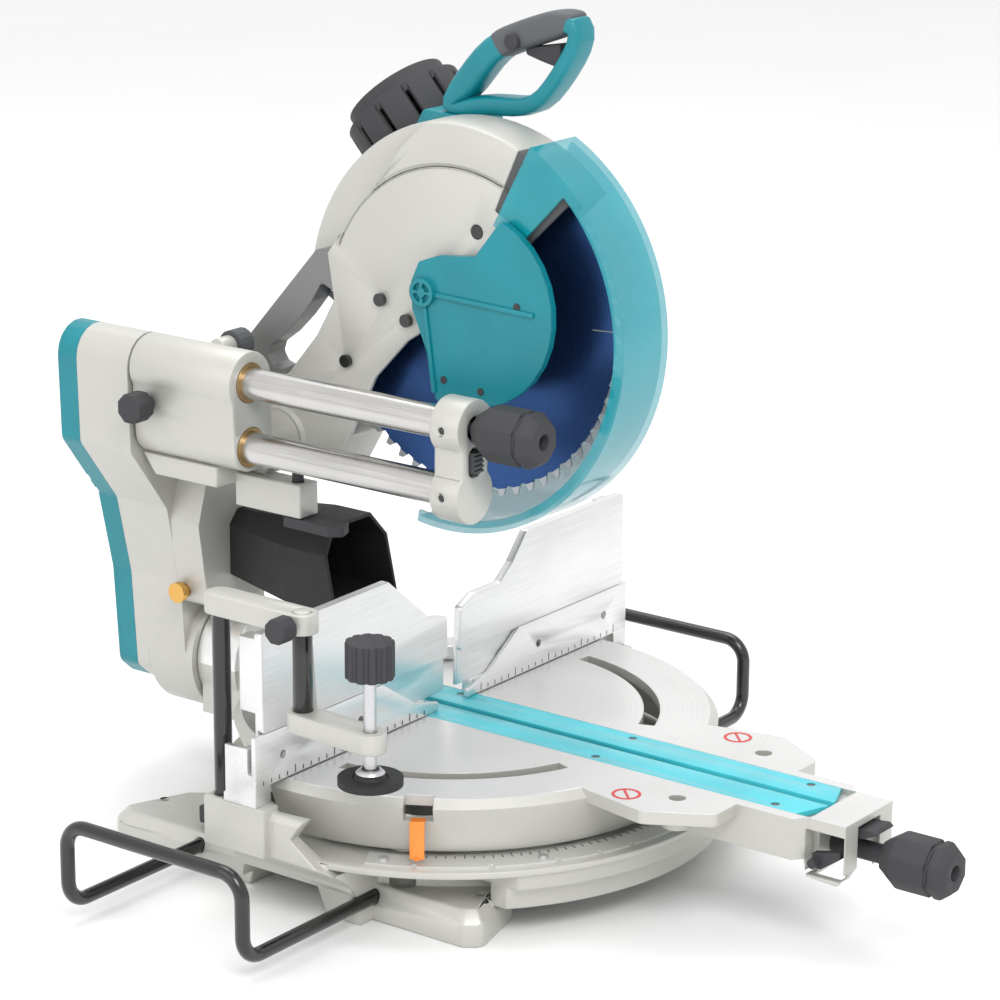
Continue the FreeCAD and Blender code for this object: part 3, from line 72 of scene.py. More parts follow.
# ---- finishes -------------------------------------------------------------
class Shader:
    """A node graph that feeds one Principled shader."""

    def __init__(self, name: str) -> None:
        """Start a material with object coordinates to hand."""
        self.material = bpy.data.materials.new(name)
        self.material.use_nodes = True
        self.tree = self.material.node_tree
        self.principled = self.tree.nodes["Principled BSDF"]
        self.coords = self.tree.nodes.new("ShaderNodeTexCoord").outputs["Object"]
        self.rounded: Socket | None = None

    def node(self, kind: str, **settings: object) -> bpy.types.Node:
        """Add a node and set its properties."""
        made = self.tree.nodes.new(kind)
        for key, value in settings.items():
            setattr(made, key, value)
        return made

    def link(self, source: Socket, target: Socket) -> None:
        """Join two sockets."""
        self.tree.links.new(source, target)

    def uniform(self, **values: object) -> None:
        """Set sockets of the shader that are the same all over."""
        for key, value in values.items():
            self.principled.inputs[key.replace("_", " ")].default_value = value

    def feed(self, name: str, source: Socket) -> None:
        """Drive one socket of the shader."""
        self.link(source, self.principled.inputs[name])

    def stretched(self, scale: Sequence[float], turn: Sequence[float] = (0, 0, 0),
                  shift: Sequence[float] = (0, 0, 0)) -> Socket:
        """Object coordinates through a Mapping node."""
        mapping = self.node("ShaderNodeMapping")
        mapping.inputs["Scale"].default_value = scale
        mapping.inputs["Rotation"].default_value = turn
        mapping.inputs["Location"].default_value = shift
        self.link(self.coords, mapping.inputs["Vector"])
        return mapping.outputs["Vector"]

    def noise(self, scale: float, detail: float = 3.0, vector: Socket | None = None) -> Socket:
        """Fractal noise as a grey value."""
        made = self.node("ShaderNodeTexNoise")
        made.inputs["Scale"].default_value = scale
        made.inputs["Detail"].default_value = detail
        self.link(vector or self.coords, made.inputs["Vector"])
        return made.outputs["Fac"]

    def math(self, operation: str, first: Socket, second: Socket | float = 0.0) -> Socket:
        """One arithmetic step."""
        made = self.node("ShaderNodeMath", operation=operation)
        self.link(first, made.inputs[0])
        if isinstance(second, (int, float)):
            made.inputs[1].default_value = second
        else:
            self.link(second, made.inputs[1])
        return made.outputs[0]

    def ramp(self, factor: Socket, *stops: tuple[float, Colour]) -> Socket:
        """Colour ramp with the given stops."""
        made = self.node("ShaderNodeValToRGB")
        elements = made.color_ramp.elements
        while len(elements) < len(stops):
            elements.new(0.5)
        for element, (position, colour) in zip(elements, stops):
            element.position = position
            element.color = (*colour, 1.0)
        self.link(factor, made.inputs["Fac"])
        return made.outputs["Color"]

    def spread(self, factor: Socket, low: float, high: float) -> Socket:
        """Map a 0..1 value on to a range."""
        made = self.node("ShaderNodeMapRange")
        made.inputs["To Min"].default_value = low
        made.inputs["To Max"].default_value = high
        self.link(factor, made.inputs["Value"])
        return made.outputs["Result"]

    def mix(self, factor: Socket, first: Socket | Colour, second: Socket | Colour) -> Socket:
        """Blend two colours."""
        made = self.node("ShaderNodeMix", data_type="RGBA")
        self.link(factor, made.inputs["Factor"])
        for name, value in (("A", first), ("B", second)):
            target = [s for s in made.inputs if s.name == name and s.type == "RGBA"][0]
            if isinstance(value, tuple):
                target.default_value = (*value, 1.0)
            else:
                self.link(value, target)
        return [s for s in made.outputs if s.type == "RGBA"][0]

    def bump(self, height: Socket, strength: float, distance: float, normal: Socket | None = None) -> Socket:
        """Bump from a height, over an optional earlier normal."""
        made = self.node("ShaderNodeBump")
        made.inputs["Strength"].default_value = strength
        made.inputs["Distance"].default_value = distance
        self.link(height, made.inputs["Height"])
        if normal is None:
            normal = self.rounded
        if normal is not None:
            self.link(normal, made.inputs["Normal"])
        return made.outputs["Normal"]

    def round_edges(self, radius: float) -> None:
        """Shade sharp edges as if they had a small radius, in metres."""
        made = self.node("ShaderNodeBevel", samples=4)
        made.inputs["Radius"].default_value = radius
        self.rounded = made.outputs["Normal"]

    def height(self) -> Socket:
        """Height over the bench, in metres."""
        made = self.node("ShaderNodeSeparateXYZ")
        self.link(self.coords, made.inputs[0])
        return made.outputs["Z"]

    def ring_distance(self, axis: Vector, centre: Vector) -> Socket:
        """Distance from an axis through a centre."""
        keep = [0.0 if component else 1.0 for component in axis]
        shift = [-c * k for c, k in zip(centre, keep)]
        moved = self.stretched(keep, shift=shift)
        made = self.node("ShaderNodeVectorMath", operation="LENGTH")
        self.link(moved, made.inputs[0])
        return made.outputs["Value"]


def tint(colour: Colour, factor: float) -> Colour:
    """The colour made lighter or darker."""
    return tuple(min(1.0, c * factor) for c in colour)


@dataclass(frozen=True)
class Finish:
    """A surface finish; build makes its material once."""

    name: str
    colour: Colour

    def shade(self, shader: Shader) -> None:
        """Wire the finish into the shader."""
        raise NotImplementedError

    def build(self) -> bpy.types.Material:
        """Return the finish's material, made on first use."""
        if self.name not in bpy.data.materials:
            self.shade(Shader(self.name))
        return bpy.data.materials[self.name]


@dataclass(frozen=True)
class CastPaint(Finish):
    """Powder coat over a casting: fine orange peel, faint blotches, rubbed high spots."""

    metallic: float = 0.25
    roughness: float = 0.42
    peel: float = 0.12
    edge: float = 0.0014

    def shade(self, shader: Shader) -> None:
        """Wire the paint."""
        shader.round_edges(self.edge)
        blotch = shader.noise(9.0, 4.0)
        fleck = shader.noise(2600.0, 1.0)
        base = shader.ramp(blotch, (0.3, tint(self.colour, 0.95)), (0.7, tint(self.colour, 1.03)))
        sparkle = shader.ramp(fleck, (0.35, tint(self.colour, 0.86)), (0.62, tint(self.colour, 1.06)))
        half = shader.node("ShaderNodeValue")
        half.outputs[0].default_value = 0.35
        shader.feed("Base Color", shader.mix(half.outputs[0], base, sparkle))
        wear = shader.noise(55.0, 5.0)
        shader.feed("Roughness", shader.spread(wear, self.roughness - 0.08, self.roughness + 0.1))
        peel = shader.bump(shader.noise(1400.0, 2.0), self.peel, 0.0002)
        shader.feed("Normal", shader.bump(shader.noise(60.0, 2.0), 0.05, 0.0006, peel))
        shader.uniform(Metallic=self.metallic, Coat_Weight=0.12, Coat_Roughness=0.25)


@dataclass(frozen=True)
class MachinedTop(CastPaint):
    """A painted casting whose flat top is machined bare."""

    top: float = 0.1147

    def shade(self, shader: Shader) -> None:
        """Wire the paint, then the turned rings above the top's height."""
        super().shade(shader)
        bare = shader.math("GREATER_THAN", shader.height(), self.top)
        distance = shader.ring_distance(Vector((0, 0, 1)), Vector((0, 0, 0)))
        cutter = shader.node("ShaderNodeTexNoise", noise_dimensions="1D")
        cutter.inputs["Scale"].default_value = 900.0
        cutter.inputs["Detail"].default_value = 2.0
        shader.link(distance, cutter.inputs["W"])
        cloud = shader.math("ADD", shader.math("MULTIPLY", cutter.outputs["Fac"], 0.5),
                            shader.math("MULTIPLY", shader.noise(7.0, 4.0), 0.5))
        turned = shader.ramp(cloud, (0.3, (0.66, 0.66, 0.65)), (0.7, (0.84, 0.84, 0.83)))
        paint = shader.principled.inputs["Base Color"].links[0].from_socket
        shader.feed("Base Color", shader.mix(bare, paint, turned))
        rough = shader.principled.inputs["Roughness"].links[0].from_socket
        polished = shader.spread(cloud, 0.22, 0.4)
        blend = shader.node("ShaderNodeMix")
        shader.link(bare, blend.inputs["Factor"])
        shader.link(rough, blend.inputs["A"])
        shader.link(polished, blend.inputs["B"])
        shader.feed("Roughness", blend.outputs["Result"])
        shader.feed("Metallic", shader.spread(bare, self.metallic, 0.85))


@dataclass(frozen=True)
class WorkedMetal(Finish):
    """Bare metal with the marks of its working."""

    grain: Grain = Grain.ALONG_X
    roughness: float = 0.28
    metallic: float = 1.0
    centre: tuple[float, float, float] = (0.0, 0.0, 0.0)

    def shade(self, shader: Shader) -> None:
        """Wire the metal."""
        shader.round_edges(0.0005)
        if self.grain is Grain.RINGS_Z:
            distance = shader.ring_distance(Vector(self.grain.value), Vector(self.centre))
            cutter = shader.node("ShaderNodeTexNoise", noise_dimensions="1D")
            cutter.inputs["Scale"].default_value = 1300.0
            cutter.inputs["Detail"].default_value = 3.0
            shader.link(distance, cutter.inputs["W"])
            marks = cutter.outputs["Fac"]
        else:
            marks = shader.noise(1.0, 3.0, shader.stretched(self.grain.value))
        cloud = shader.noise(14.0, 4.0)
        tone = shader.math("ADD", shader.math("MULTIPLY", marks, 0.6), shader.math("MULTIPLY", cloud, 0.4))
        dull, bright = tint(self.colour, 0.86), tint(self.colour, 1.06)
        shader.feed("Base Color", shader.ramp(tone, (0.3, dull), (0.7, bright)))
        shader.feed("Roughness", shader.spread(tone, self.roughness - 0.08, self.roughness + 0.12))
        shader.feed("Normal", shader.bump(marks, 0.16, 0.00012))
        shader.uniform(Metallic=self.metallic)


@dataclass(frozen=True)
class Moulded(Finish):
    """Moulded plastic with spark-eroded grain and light handling marks."""

    roughness: float = 0.42
    grain: float = 0.25
    grain_scale: float = 1500.0
    alpha: float = 1.0
    coat: float = 0.0

    def shade(self, shader: Shader) -> None:
        """Wire the plastic."""
        if self.alpha == 1.0:
            shader.round_edges(0.0012)
        cloud = shader.noise(18.0, 4.0)
        deep, pale = tint(self.colour, 0.9), tint(self.colour, 1.08)
        shader.feed("Base Color", shader.ramp(cloud, (0.3, deep), (0.7, pale)))
        wear = shader.spread(shader.noise(120.0, 6.0), self.roughness - 0.06, self.roughness + 0.1)
        shader.feed("Roughness", wear)
        grain = shader.bump(shader.noise(self.grain_scale, 2.0), self.grain, 0.00015)
        shader.feed("Normal", grain)
        shader.uniform(Alpha=self.alpha, Coat_Weight=self.coat, Coat_Roughness=0.08)


@dataclass(frozen=True)
class BladeFinish(Finish):
    """Coated saw plate: turning rings, darker coating and bright ground carbide at the rim."""

    centre: tuple[float, float, float] = (0.0, 0.0, 0.0)
    tip_radius: float = 0.1462
    hub_radius: float = 0.046

    def shade(self, shader: Shader) -> None:
        """Wire the plate."""
        distance = shader.ring_distance(Vector((1, 0, 0)), Vector(self.centre))
        rings = shader.node("ShaderNodeTexNoise", noise_dimensions="1D")
        rings.inputs["Scale"].default_value = 1700.0
        shader.link(distance, rings.inputs["W"])
        deep, pale = tint(self.colour, 0.75), tint(self.colour, 1.2)
        coat = shader.ramp(rings.outputs["Fac"], (0.3, deep), (0.7, pale))
        bright = shader.math("GREATER_THAN", distance, self.tip_radius)
        hub = shader.math("LESS_THAN", distance, self.hub_radius)
        shader.feed("Base Color", shader.mix(shader.math("MAXIMUM", bright, hub), coat, (0.42, 0.44, 0.47)))
        shader.feed("Roughness", shader.spread(rings.outputs["Fac"], 0.2, 0.42))
        shader.feed("Normal", shader.bump(rings.outputs["Fac"], 0.2, 0.0001))
        shader.uniform(Metallic=0.9)


def joint_at(name: str) -> Vector:
    """Position of a joint of the frame, in millimetres."""
    for joint in frame["joints"]:
        if joint["name"] == name:
            return Vector(joint["pos_m"]) / MM
    raise KeyError(name)


BLADE_AT = joint_at("blade_spin")
BLADE_AT.x = 0.0
TABLE_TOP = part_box("kerf_boards")[1].z / MM

SILVER = CastPaint("silver_paint", (0.52, 0.515, 0.48), 0.3)
TABLE = MachinedTop("machined_table", (0.52, 0.515, 0.48), 0.3)
DARK_CAST = CastPaint("dark_cast_paint", (0.20, 0.205, 0.20), 0.35, 0.45)
BRIGHT = WorkedMetal("brushed_fence", (0.80, 0.80, 0.80), Grain.ALONG_X, 0.34, 0.85)
RAIL = WorkedMetal("rail_steel", (0.60, 0.59, 0.58), Grain.ALONG_Y, 0.22)
ZINC = WorkedMetal("zinc_steel", (0.62, 0.62, 0.63), Grain.ALONG_X, 0.3)
BLACK_STEEL = Moulded("black_enamel", (0.006, 0.006, 0.006), 0.22, 0.05, 900.0, coat=0.5)
BLACK = Moulded("black_plastic", (0.011, 0.011, 0.012), 0.4, 0.3)
DARK = Moulded("dark_plastic", (0.03, 0.031, 0.032), 0.42, 0.3)
TEAL = Moulded("teal_plastic", (0.0, 0.205, 0.25), 0.36, 0.2)
CLEAR = Moulded("clear_teal", (0.0, 0.36, 0.43), 0.1, 0.03, 300.0, alpha=0.56, coat=0.8)
BOARD = Moulded("kerf_board_plastic", (0.05, 0.50, 0.58), 0.3, 0.06, 400.0, coat=0.3)
ORANGE = Moulded("orange_plastic", (0.95, 0.26, 0.03), 0.3, 0.1, coat=0.2)
RUBBER = Moulded("soft_rubber", (0.012, 0.012, 0.013), 0.62, 0.5, 900.0)
GRIP = Moulded("grip_rubber", (0.085, 0.092, 0.1), 0.6, 0.6, 700.0)
BRASS = WorkedMetal("brass_ring", (0.72, 0.42, 0.12), Grain.ALONG_X, 0.3)
BRONZE = WorkedMetal("bronze_bush", (0.50, 0.34, 0.16), Grain.ALONG_Y, 0.4)
COPPER = WorkedMetal("copper_winding", (0.60, 0.28, 0.12), Grain.ALONG_Y, 0.4)
LABEL_RED = Moulded("label_red", (0.62, 0.03, 0.03), 0.35, 0.05)
INK = Moulded("scale_ink", (0.015, 0.015, 0.016), 0.5, 0.05)
PLATE = WorkedMetal("scale_plate", (0.80, 0.80, 0.78), Grain.RINGS_Z, 0.36, 0.75)
BLADE = BladeFinish("coated_blade", (0.035, 0.085, 0.24), centre=tuple(BLADE_AT * MM))

CAD_FINISH: dict[str, Finish] = {
    "base_casting": SILVER, "miter_scale_plate": PLATE, "base_screws": ZINC,
    "turntable_pivot_bolt": ZINC, "lower_fence": BRIGHT, "left_upper_fence": BRIGHT,
    "right_upper_fence": BRIGHT, "clamp_screws": BLACK, "left_holder": BLACK_STEEL,
    "right_holder": BLACK_STEEL, "turntable": TABLE, "kerf_boards": BOARD,
    "kerf_board_screws": BLACK_STEEL, "miter_pointer": ORANGE, "miter_lock_grip": BLACK,
    "front_lock_lever": BLACK, "positive_stop_lever": BLACK, "bevel_pivot_pin": ZINC,
    "tilt_arm": SILVER, "rear_cover": TEAL, "dust_hood": RUBBER, "guide_rails": RAIL,
    "rail_bracket": SILVER, "set_screws": BLACK_STEEL, "bevel_lock_grip": BLACK,
    "bevel_release_lever": DARK, "bevel_stop_button": BRASS, "slide_carriage": SILVER,
    "rail_bushes": BRONZE, "slide_lock_knob": BLACK, "stopper_pin": DARK, "stopper_arm": BLACK,
    "chop_shaft": ZINC, "front_case_cap": DARK, "blade_case": SILVER, "case_bolts": BLACK_STEEL,
    "gear_housing": SILVER, "motor_housing": TEAL, "motor_end_cap": BLACK, "stator": COPPER,
    "armature": ZINC, "head_bearings": ZINC, "centre_cover": TEAL, "carry_handle": DARK_CAST,
    "handle_shells": TEAL, "handle_grip": GRIP, "trigger": BLACK, "lock_off_button": BLACK,
    "lower_guard": CLEAR, "saw_blade": BLADE, "blade_flanges": ZINC, "arbor_bolt": ZINC,
    "spindle": ZINC, "vise_post": BLACK_STEEL, "vise_upper_arm": SILVER, "vise_arm_screw": BLACK,
    "vise_lower_arm": SILVER, "vise_screw": ZINC, "vise_knob": BLACK, "vise_pad": RUBBER,
}


# ---- mesh building --------------------------------------------------------
def body_holding(node: str) -> str:
    """Name of the body that a CAD node belongs to."""
    for body, members in frame["record"]["behaviour"]["bodies"].items():
        if node in members:
            return body
    raise KeyError(node)


class Piece:
    """A mesh built from bmesh operators in millimetres of the row frame."""

    def __init__(self, name: str) -> None:
        """Start an empty mesh."""
        self.name = name
        self.mesh = bmesh.new()

    def block(self, low: Sequence[float], high: Sequence[float], turn: Matrix | None = None) -> list:
        """Add a box between two corners.

        Args:
            low: lowest corner.
            high: highest corner.
            turn: optional transform applied to the finished box.

        Returns:
            The new vertices.
        """
        low, high = Vector(low), Vector(high)
        matrix = Matrix.Translation((low + high) / 2) @ Matrix.Diagonal((*(high - low), 1.0))
        verts = bmesh.ops.create_cube(self.mesh, size=1.0, matrix=matrix)["verts"]
        if turn is not None:
            bmesh.ops.transform(self.mesh, matrix=turn, verts=verts)
        return verts

    def rod(self, start: Sequence[float], end: Sequence[float], radius: float,
            end_radius: float | None = None, sides: int = 40) -> list:
        """Add a cylinder or cone between two points.

        Args:
            start: centre of the first end.
            end: centre of the other end.
            radius: radius at the start.
            end_radius: radius at the end, the same if left out.
            sides: number of flats.

        Returns:
            The new vertices.
        """
        start, end = Vector(start), Vector(end)
        along = end - start
        matrix = Matrix.Translation((start + end) / 2) @ along.to_track_quat("Z", "Y").to_matrix().to_4x4()
        made = bmesh.ops.create_cone(self.mesh, cap_ends=True, segments=sides, radius1=radius,
                                     radius2=radius if end_radius is None else end_radius, depth=along.length,
                                     matrix=matrix)
        return made["verts"]

    def loft(self, stations: Sequence[tuple[Vector, Vector, float, float]], closed: bool,
             squareness: float = 0.55, sides: int = 20) -> None:
        """Add a skin through sections that stand across a path in a plane of constant X.

        Args:
            stations: centre, direction along the path, half width in X and half depth of each section.
            closed: whether the last section joins the first.
            squareness: 1 for an ellipse, lower for a squarer section.
            sides: corners of a section.
        """
        loops = []
        for centre, along, half_x, half_depth in stations:
            across = Vector((1, 0, 0))
            deep = along.normalized().cross(across)
            made = bmesh.ops.create_circle(self.mesh, cap_ends=False, segments=sides, radius=1.0)["verts"]
            for vert in made:
                u = math.copysign(abs(vert.co.x) ** squareness, vert.co.x)
                v = math.copysign(abs(vert.co.y) ** squareness, vert.co.y)
                vert.co = centre + across * (u * half_x) + deep * (v * half_depth)
            loops.append(list({edge for vert in made for edge in vert.link_edges}))
        pairs = list(zip(loops, loops[1:]))
        if closed:
            pairs.append((loops[-1], loops[0]))
        for first, second in pairs:
            bmesh.ops.bridge_loops(self.mesh, edges=first + second)
        if not closed:
            for loop in (loops[0], loops[-1]):
                bmesh.ops.contextual_create(self.mesh, geom=loop)

    def soften(self, width: float, segments: int = 2, angle: float = 30.0) -> "Piece":
        """Round the edges that are sharper than an angle."""
        bmesh.ops.remove_doubles(self.mesh, verts=self.mesh.verts, dist=0.002)
        limit = math.radians(angle)
        sharp = [e for e in self.mesh.edges if len(e.link_faces) == 2 and e.calc_face_angle(0.0) > limit]
        bmesh.ops.bevel(self.mesh, geom=sharp, offset=width, offset_type="OFFSET", affect="EDGES",
                        segments=segments, profile=0.5, material=-1, clamp_overlap=False)
        return self

    def ready(self, finish: Finish, body: str, replaces: Iterable[str] = (),
              smooth: bool = True) -> bpy.types.Object:
        """Turn the mesh into a finished piece that rides on a body.

        Args:
            finish: its surface finish.
            body: the body that carries it.
            replaces: CAD nodes that it stands for.
            smooth: whether faces blend below the smoothing angle.

        Returns:
            The object.
        """
        bmesh.ops.scale(self.mesh, vec=(MM, MM, MM), verts=self.mesh.verts)
        bmesh.ops.remove_doubles(self.mesh, verts=self.mesh.verts, dist=1e-6)
        bmesh.ops.recalc_face_normals(self.mesh, faces=self.mesh.faces)
        data = bpy.data.meshes.new(self.name)
        for face in self.mesh.faces:
            face.smooth = smooth
        self.mesh.to_mesh(data)
        self.mesh.free()
        if smooth:
            data.set_sharp_from_angle(angle=SMOOTH_ANGLE)
        made = bpy.data.objects.new(self.name, data)
        bpy.context.scene.collection.objects.link(made)
        data.materials.append(finish.build())
        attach(made, body)
        names = list(replaces)
        if names:
            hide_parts(*names)
        return made


def refine(node: str, width: float, segments: int = 2) -> bpy.types.Object:
    """Stand in for a CAD node with the same shape and rounded edges.

    Args:
        node: the CAD node.
        width: how far the rounding reaches from each edge, in millimetres.
        segments: steps across the rounding.

    Returns:
        The new piece.
    """
    piece = Piece(f"{node}_finished")
    piece.mesh.from_mesh(frame["nodes"][node].data)
    bmesh.ops.scale(piece.mesh, vec=(1 / MM, 1 / MM, 1 / MM), verts=piece.mesh.verts)
    bmesh.ops.remove_doubles(piece.mesh, verts=piece.mesh.verts, dist=0.004)
    bmesh.ops.dissolve_limit(piece.mesh, angle_limit=math.radians(0.6), verts=piece.mesh.verts,
                             edges=piece.mesh.edges)
    piece.soften(width, segments)
    return piece.ready(CAD_FINISH[node], body_holding(node), [node])


# ---- sub-assemblies -------------------------------------------------------
@dataclass
class MainHandle:
    """D-shaped main handle: the two moulded shells as one loop, and a rubber sleeve."""

    half_width: float = 14.0
    sleeve: float = 1.3

    def path(self) -> list[tuple[Vector, float]]:
        """Centre line of the loop and its half depth, from the rear foot forward."""
        low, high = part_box("handle_shells")
        x = (low.x + high.x) / 2 / MM
        top = TABLE_TOP
        line = [(40, 508, 10), (25, 523, 12.5), (9, 543, 12.5), (-8, 562, 12), (-28, 572, 11), (-52, 581, 11),
                (-76, 589, 11), (-91, 590, 9), (-94, 577, 7.5), (-84, 558, 7.5), (-69, 537, 7.5),
                (-53, 519, 8), (-30, 515, 8.5), (-4, 515, 8.5), (20, 509, 9)]
        return [(Vector((x, y, top + z)), depth) for y, z, depth in line]

    def stations(self, first: int, last: int, extra: float, closed: bool) -> list:
        """Sections of the loop from one index to another."""
        path = self.path()
        count = len(path)
        result = []
        for i in range(first, last):
            centre, depth = path[i % count]
            along = path[(i + 1) % count][0] - path[(i - 1) % count][0]
            result.append((centre, along, self.half_width + extra, depth + extra))
        return result

    def build(self) -> None:
        """Make the loop and its sleeve."""
        loop = Piece("main_handle_loop")
        loop.loft(self.stations(0, len(self.path()), 0.0, True), closed=True)
        made = loop.ready(TEAL, "head", ["handle_shells"])
        subdivide(made, 1)
        sleeve = Piece("main_handle_sleeve")
        sleeve.loft(self.stations(3, 8, self.sleeve, False), closed=False)
        made = sleeve.ready(GRIP, "head", ["handle_grip"])
        subdivide(made, 2)
        log.info("main handle built")


def subdivide(made: bpy.types.Object, levels: int) -> None:
    """Finish a piece with a subdivision surface."""
    modifier = made.modifiers.new("subdivision", "SUBSURF")
    modifier.levels = levels
    modifier.render_levels = levels


@dataclass
class Castings:
    """Castings and mouldings that keep the frame's shape, with rounded edges."""

    def build(self) -> None:
        """Refine each listed node."""
        widths = {
            "base_casting": 1.4, "slide_carriage": 1.4,
            "rail_bracket": 1.6, "blade_case": 1.4, "front_case_cap": 1.0, "lower_fence": 0.6,
            "left_upper_fence": 0.7, "right_upper_fence": 0.7, "vise_upper_arm": 1.4, "vise_lower_arm": 1.4,
            "miter_lock_grip": 1.2,
            "bevel_lock_grip": 1.2, "clamp_screws": 0.8, "vise_knob": 1.2, "motor_end_cap": 1.2,
            "motor_housing": 1.2, "gear_housing": 1.2, "trigger": 1.2, "lock_off_button": 1.2,
            "miter_pointer": 0.4, "front_lock_lever": 0.8, "kerf_boards": 0.3, "slide_lock_knob": 0.9,
            "vise_arm_screw": 0.9,
        }
        for node, width in widths.items():
            refine(node, width)
            log.info("refined %s", node)


@dataclass
class Graduations:
    """Engraved scales: ticks on the miter plate and on the lower fence."""

    tick_depth: float = 0.25
    miter_limit: int = 60
    fence_step: float = 10.0

    def miter_ticks(self) -> None:
        """Ticks every two degrees round the front of the miter plate."""
        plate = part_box("miter_scale_plate")
        outer, top = plate[1].x / MM - 3.0, plate[1].z / MM
        ticks = Piece("miter_scale_ticks")
        for degrees in range(-self.miter_limit, self.miter_limit + 1, 2):
            length = 8.0 if degrees % 10 == 0 else 5.0
            turn = Matrix.Rotation(math.radians(degrees), 4, "Z")
            ticks.block((-0.35, -outer, top), (0.35, -outer + length, top + self.tick_depth), turn)
        ticks.ready(INK, body_holding("miter_scale_plate"), smooth=False)

    def fence_ticks(self, node: str, height: float) -> None:
        """Ticks along the foot of a fence's front face.

        Args:
            node: the fence that is marked.
            height: where the ticks start over the table.
        """
        low, high = (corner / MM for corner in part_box(node))
        ticks = Piece(f"{node}_ticks")
        count = int((high.x - low.x) / self.fence_step)
        for i in range(1, count):
            x = low.x + i * self.fence_step
            if abs(x) < 34.0:
                continue
            length = 7.0 if i % 5 == 0 else 4.0
            bottom = TABLE_TOP + height
            ticks.block((x - 0.3, low.y - self.tick_depth, bottom), (x + 0.3, low.y + 0.1, bottom + length))
        ticks.ready(INK, body_holding(node), smooth=False)

    def build(self) -> None:
        """Make every scale."""
        self.miter_ticks()
        self.fence_ticks("lower_fence", 2.0)
        log.info("scales marked")


@dataclass
class HeadTrim:
    """Small mouldings on the saw head: cover ribs and screws."""

    rib_height: float = 2.2
    rib_half: float = 2.0

    def build(self) -> None:
        """Make ribs on the centre cover that run forward and down from its hub."""
        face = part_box("centre_cover")[0].x / MM + 4.0
        hub = Vector((0.0, -1.0, TABLE_TOP + 371.0))
        ribs = Piece("centre_cover_ribs")
        for degrees, length in ((182.0, 112.0), (262.0, 84.0)):
            turn = Matrix.Translation(hub) @ Matrix.Rotation(math.radians(degrees), 4, "X")
            low = (face - self.rib_height, 11.0, -self.rib_half)
            ribs.block(low, (face + 0.4, length, self.rib_half), turn)
        ribs.soften(0.5)
        ribs.ready(TEAL, "head")
        screws = Piece("centre_cover_screws")
        for y, z in ((-96.0, 372.0), (-60.0, 296.0), (-22.0, 300.0)):
            at = Vector((face, y, TABLE_TOP + z))
            screws.rod(at + Vector((0.5, 0, 0)), at - Vector((0.7, 0, 0)), 3.2, sides=24)
        screws.ready(BLACK, "head")
        log.info("head trimmed")


@dataclass
class TableTrim:
    """Plain ring labels on the turntable's ears."""

    outer: float = 12.0
    inner: float = 9.4

    def build(self) -> None:
        """Make one label with a ring and a bar on each ear."""
        for side in (-1, 1):
            centre = Vector((side * 82.0, -238.0, TABLE_TOP))
            label = Piece(f"ear_label_{'left' if side < 0 else 'right'}")
            outer = bmesh.ops.create_circle(label.mesh, segments=40, radius=self.outer)["verts"]
            inner = bmesh.ops.create_circle(label.mesh, segments=40, radius=self.inner)["verts"]
            edges = list({edge for vert in outer + inner for edge in vert.link_edges})
            made = bmesh.ops.bridge_loops(label.mesh, edges=edges)["faces"]
            grown = bmesh.ops.extrude_face_region(label.mesh, geom=made)["geom"]
            lifted = [g for g in grown if isinstance(g, bmesh.types.BMVert)]
            bmesh.ops.translate(label.mesh, vec=(0, 0, 0.2), verts=lifted)
            bmesh.ops.translate(label.mesh, vec=centre, verts=label.mesh.verts)
            bar = Matrix.Translation(centre) @ Matrix.Rotation(math.radians(45), 4, "Z")
            label.block((-9.6, -1.1, 0.0), (9.6, 1.1, 0.2), bar)
            label.ready(LABEL_RED, body_holding("turntable"), smooth=False)


@dataclass
class ViseTrim:
    """Black sleeve on the swinging arm's post and the chrome cup on the pad."""

    def build(self) -> None:
        """Make the sleeve and the cup."""
        post = joint_at("vise_arm_swing")
        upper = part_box("vise_upper_arm")[0].z / MM
        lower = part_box("vise_lower_arm")[0].z / MM + 15.0
        sleeve = Piece("vise_post_sleeve")
        sleeve.rod((post.x, post.y, lower), (post.x, post.y, upper - 0.3), 8.1)
        sleeve.soften(0.3)
        sleeve.ready(BLACK_STEEL, body_holding("vise_lower_arm"))
        low, high = (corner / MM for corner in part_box("vise_pad"))
        middle = (low + high) / 2
        cup = Piece("vise_pad_cup")
        cup.rod((middle.x, middle.y, high.z - 3.5), (middle.x, middle.y, high.z - 0.1), 12.0, 8.5)
        cup.soften(0.5)
        cup.ready(ZINC, body_holding("vise_pad"))


def dress_frame() -> None:
    """Give every CAD node its finish."""
    for name, finish in CAD_FINISH.items():
        node = frame["nodes"][name]
        if not node.material_slots:
            node.data.materials.append(finish.build())
        for slot in node.material_slots:
            slot.material = finish.build()


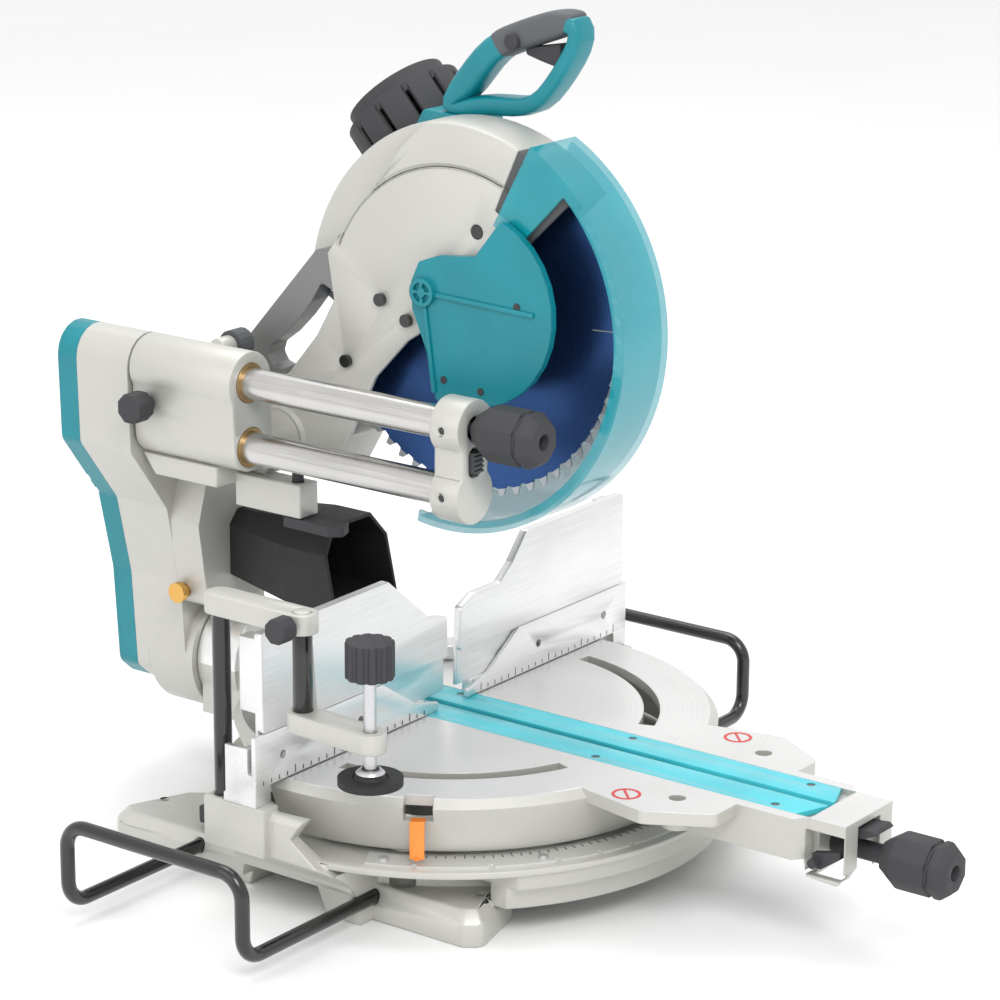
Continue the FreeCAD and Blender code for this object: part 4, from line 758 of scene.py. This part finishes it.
# ---- studio ---------------------------------------------------------------
@dataclass
class Studio:
    """Pale floor, soft lights and the camera."""

    azimuth: float = -53.36
    elevation: float = 16.44
    roll: float = 0.35
    lens: float = 123.48
    eye: tuple[float, float, float] = (-2.20519, -1.68916, 1.11820)

    def camera(self) -> None:
        """Place the camera."""
        turn = math.radians(self.azimuth)
        rise = math.radians(self.elevation)
        forward = Vector((-math.sin(turn) * math.cos(rise), math.cos(turn) * math.cos(rise), -math.sin(rise)))
        data = bpy.data.cameras.new("camera")
        data.lens = self.lens
        data.sensor_width = 36.0
        camera = bpy.data.objects.new("camera", data)
        bpy.context.scene.collection.objects.link(camera)
        look = forward.to_track_quat("-Z", "Y").to_matrix().to_4x4()
        tilt = Matrix.Rotation(math.radians(self.roll), 4, "Z")
        camera.matrix_world = Matrix.Translation(self.eye) @ look @ tilt
        bpy.context.scene.camera = camera

    def light(self, name: str, at: Sequence[float], size: float, watts: float) -> None:
        """Add a soft square light aimed at the middle of the saw."""
        data = bpy.data.lights.new(name, "AREA")
        data.shape = "SQUARE"
        data.size = size
        data.energy = watts
        lamp = bpy.data.objects.new(name, data)
        bpy.context.scene.collection.objects.link(lamp)
        aim = Vector((0.0, 0.0, 0.3)) - Vector(at)
        lamp.matrix_world = Matrix.Translation(at) @ aim.to_track_quat("-Z", "Y").to_matrix().to_4x4()

    def build(self) -> None:
        """Make the whole studio."""
        mesh = bmesh.new()
        bmesh.ops.create_grid(mesh, x_segments=1, y_segments=1, size=12.0)
        data = bpy.data.meshes.new("floor")
        mesh.to_mesh(data)
        mesh.free()
        floor = bpy.data.objects.new("floor", data)
        bpy.context.scene.collection.objects.link(floor)
        shader = Shader("studio_floor")
        cloud = shader.noise(1.5)
        shader.feed("Base Color", shader.ramp(cloud, (0.3, (0.86,) * 3), (0.7, (0.88,) * 3)))
        shader.uniform(Roughness=0.75)
        data.materials.append(shader.material)
        world = bpy.data.worlds.new("studio")
        world.use_nodes = True
        world.node_tree.nodes["Background"].inputs["Color"].default_value = (1.0, 1.0, 1.0, 1.0)
        world.node_tree.nodes["Background"].inputs["Strength"].default_value = 1.0
        bpy.context.scene.world = world
        self.light("key", (-1.8, -2.0, 2.8), 1.4, 55.0)
        self.light("fill", (-3.0, 0.8, 1.6), 2.0, 14.0)
        self.light("top", (0.8, 0.6, 3.0), 2.0, 36.0)
        self.camera()
        bpy.context.scene.view_settings.view_transform = "Standard"


def main() -> None:
    """Build every piece around the frame, then the studio."""
    logging.basicConfig(level=logging.INFO, format="%(message)s")
    dress_frame()
    Castings().build()
    MainHandle().build()
    Graduations().build()
    HeadTrim().build()
    TableTrim().build()
    ViseTrim().build()
    Studio().build()


if __name__ == "__main__":
    main()
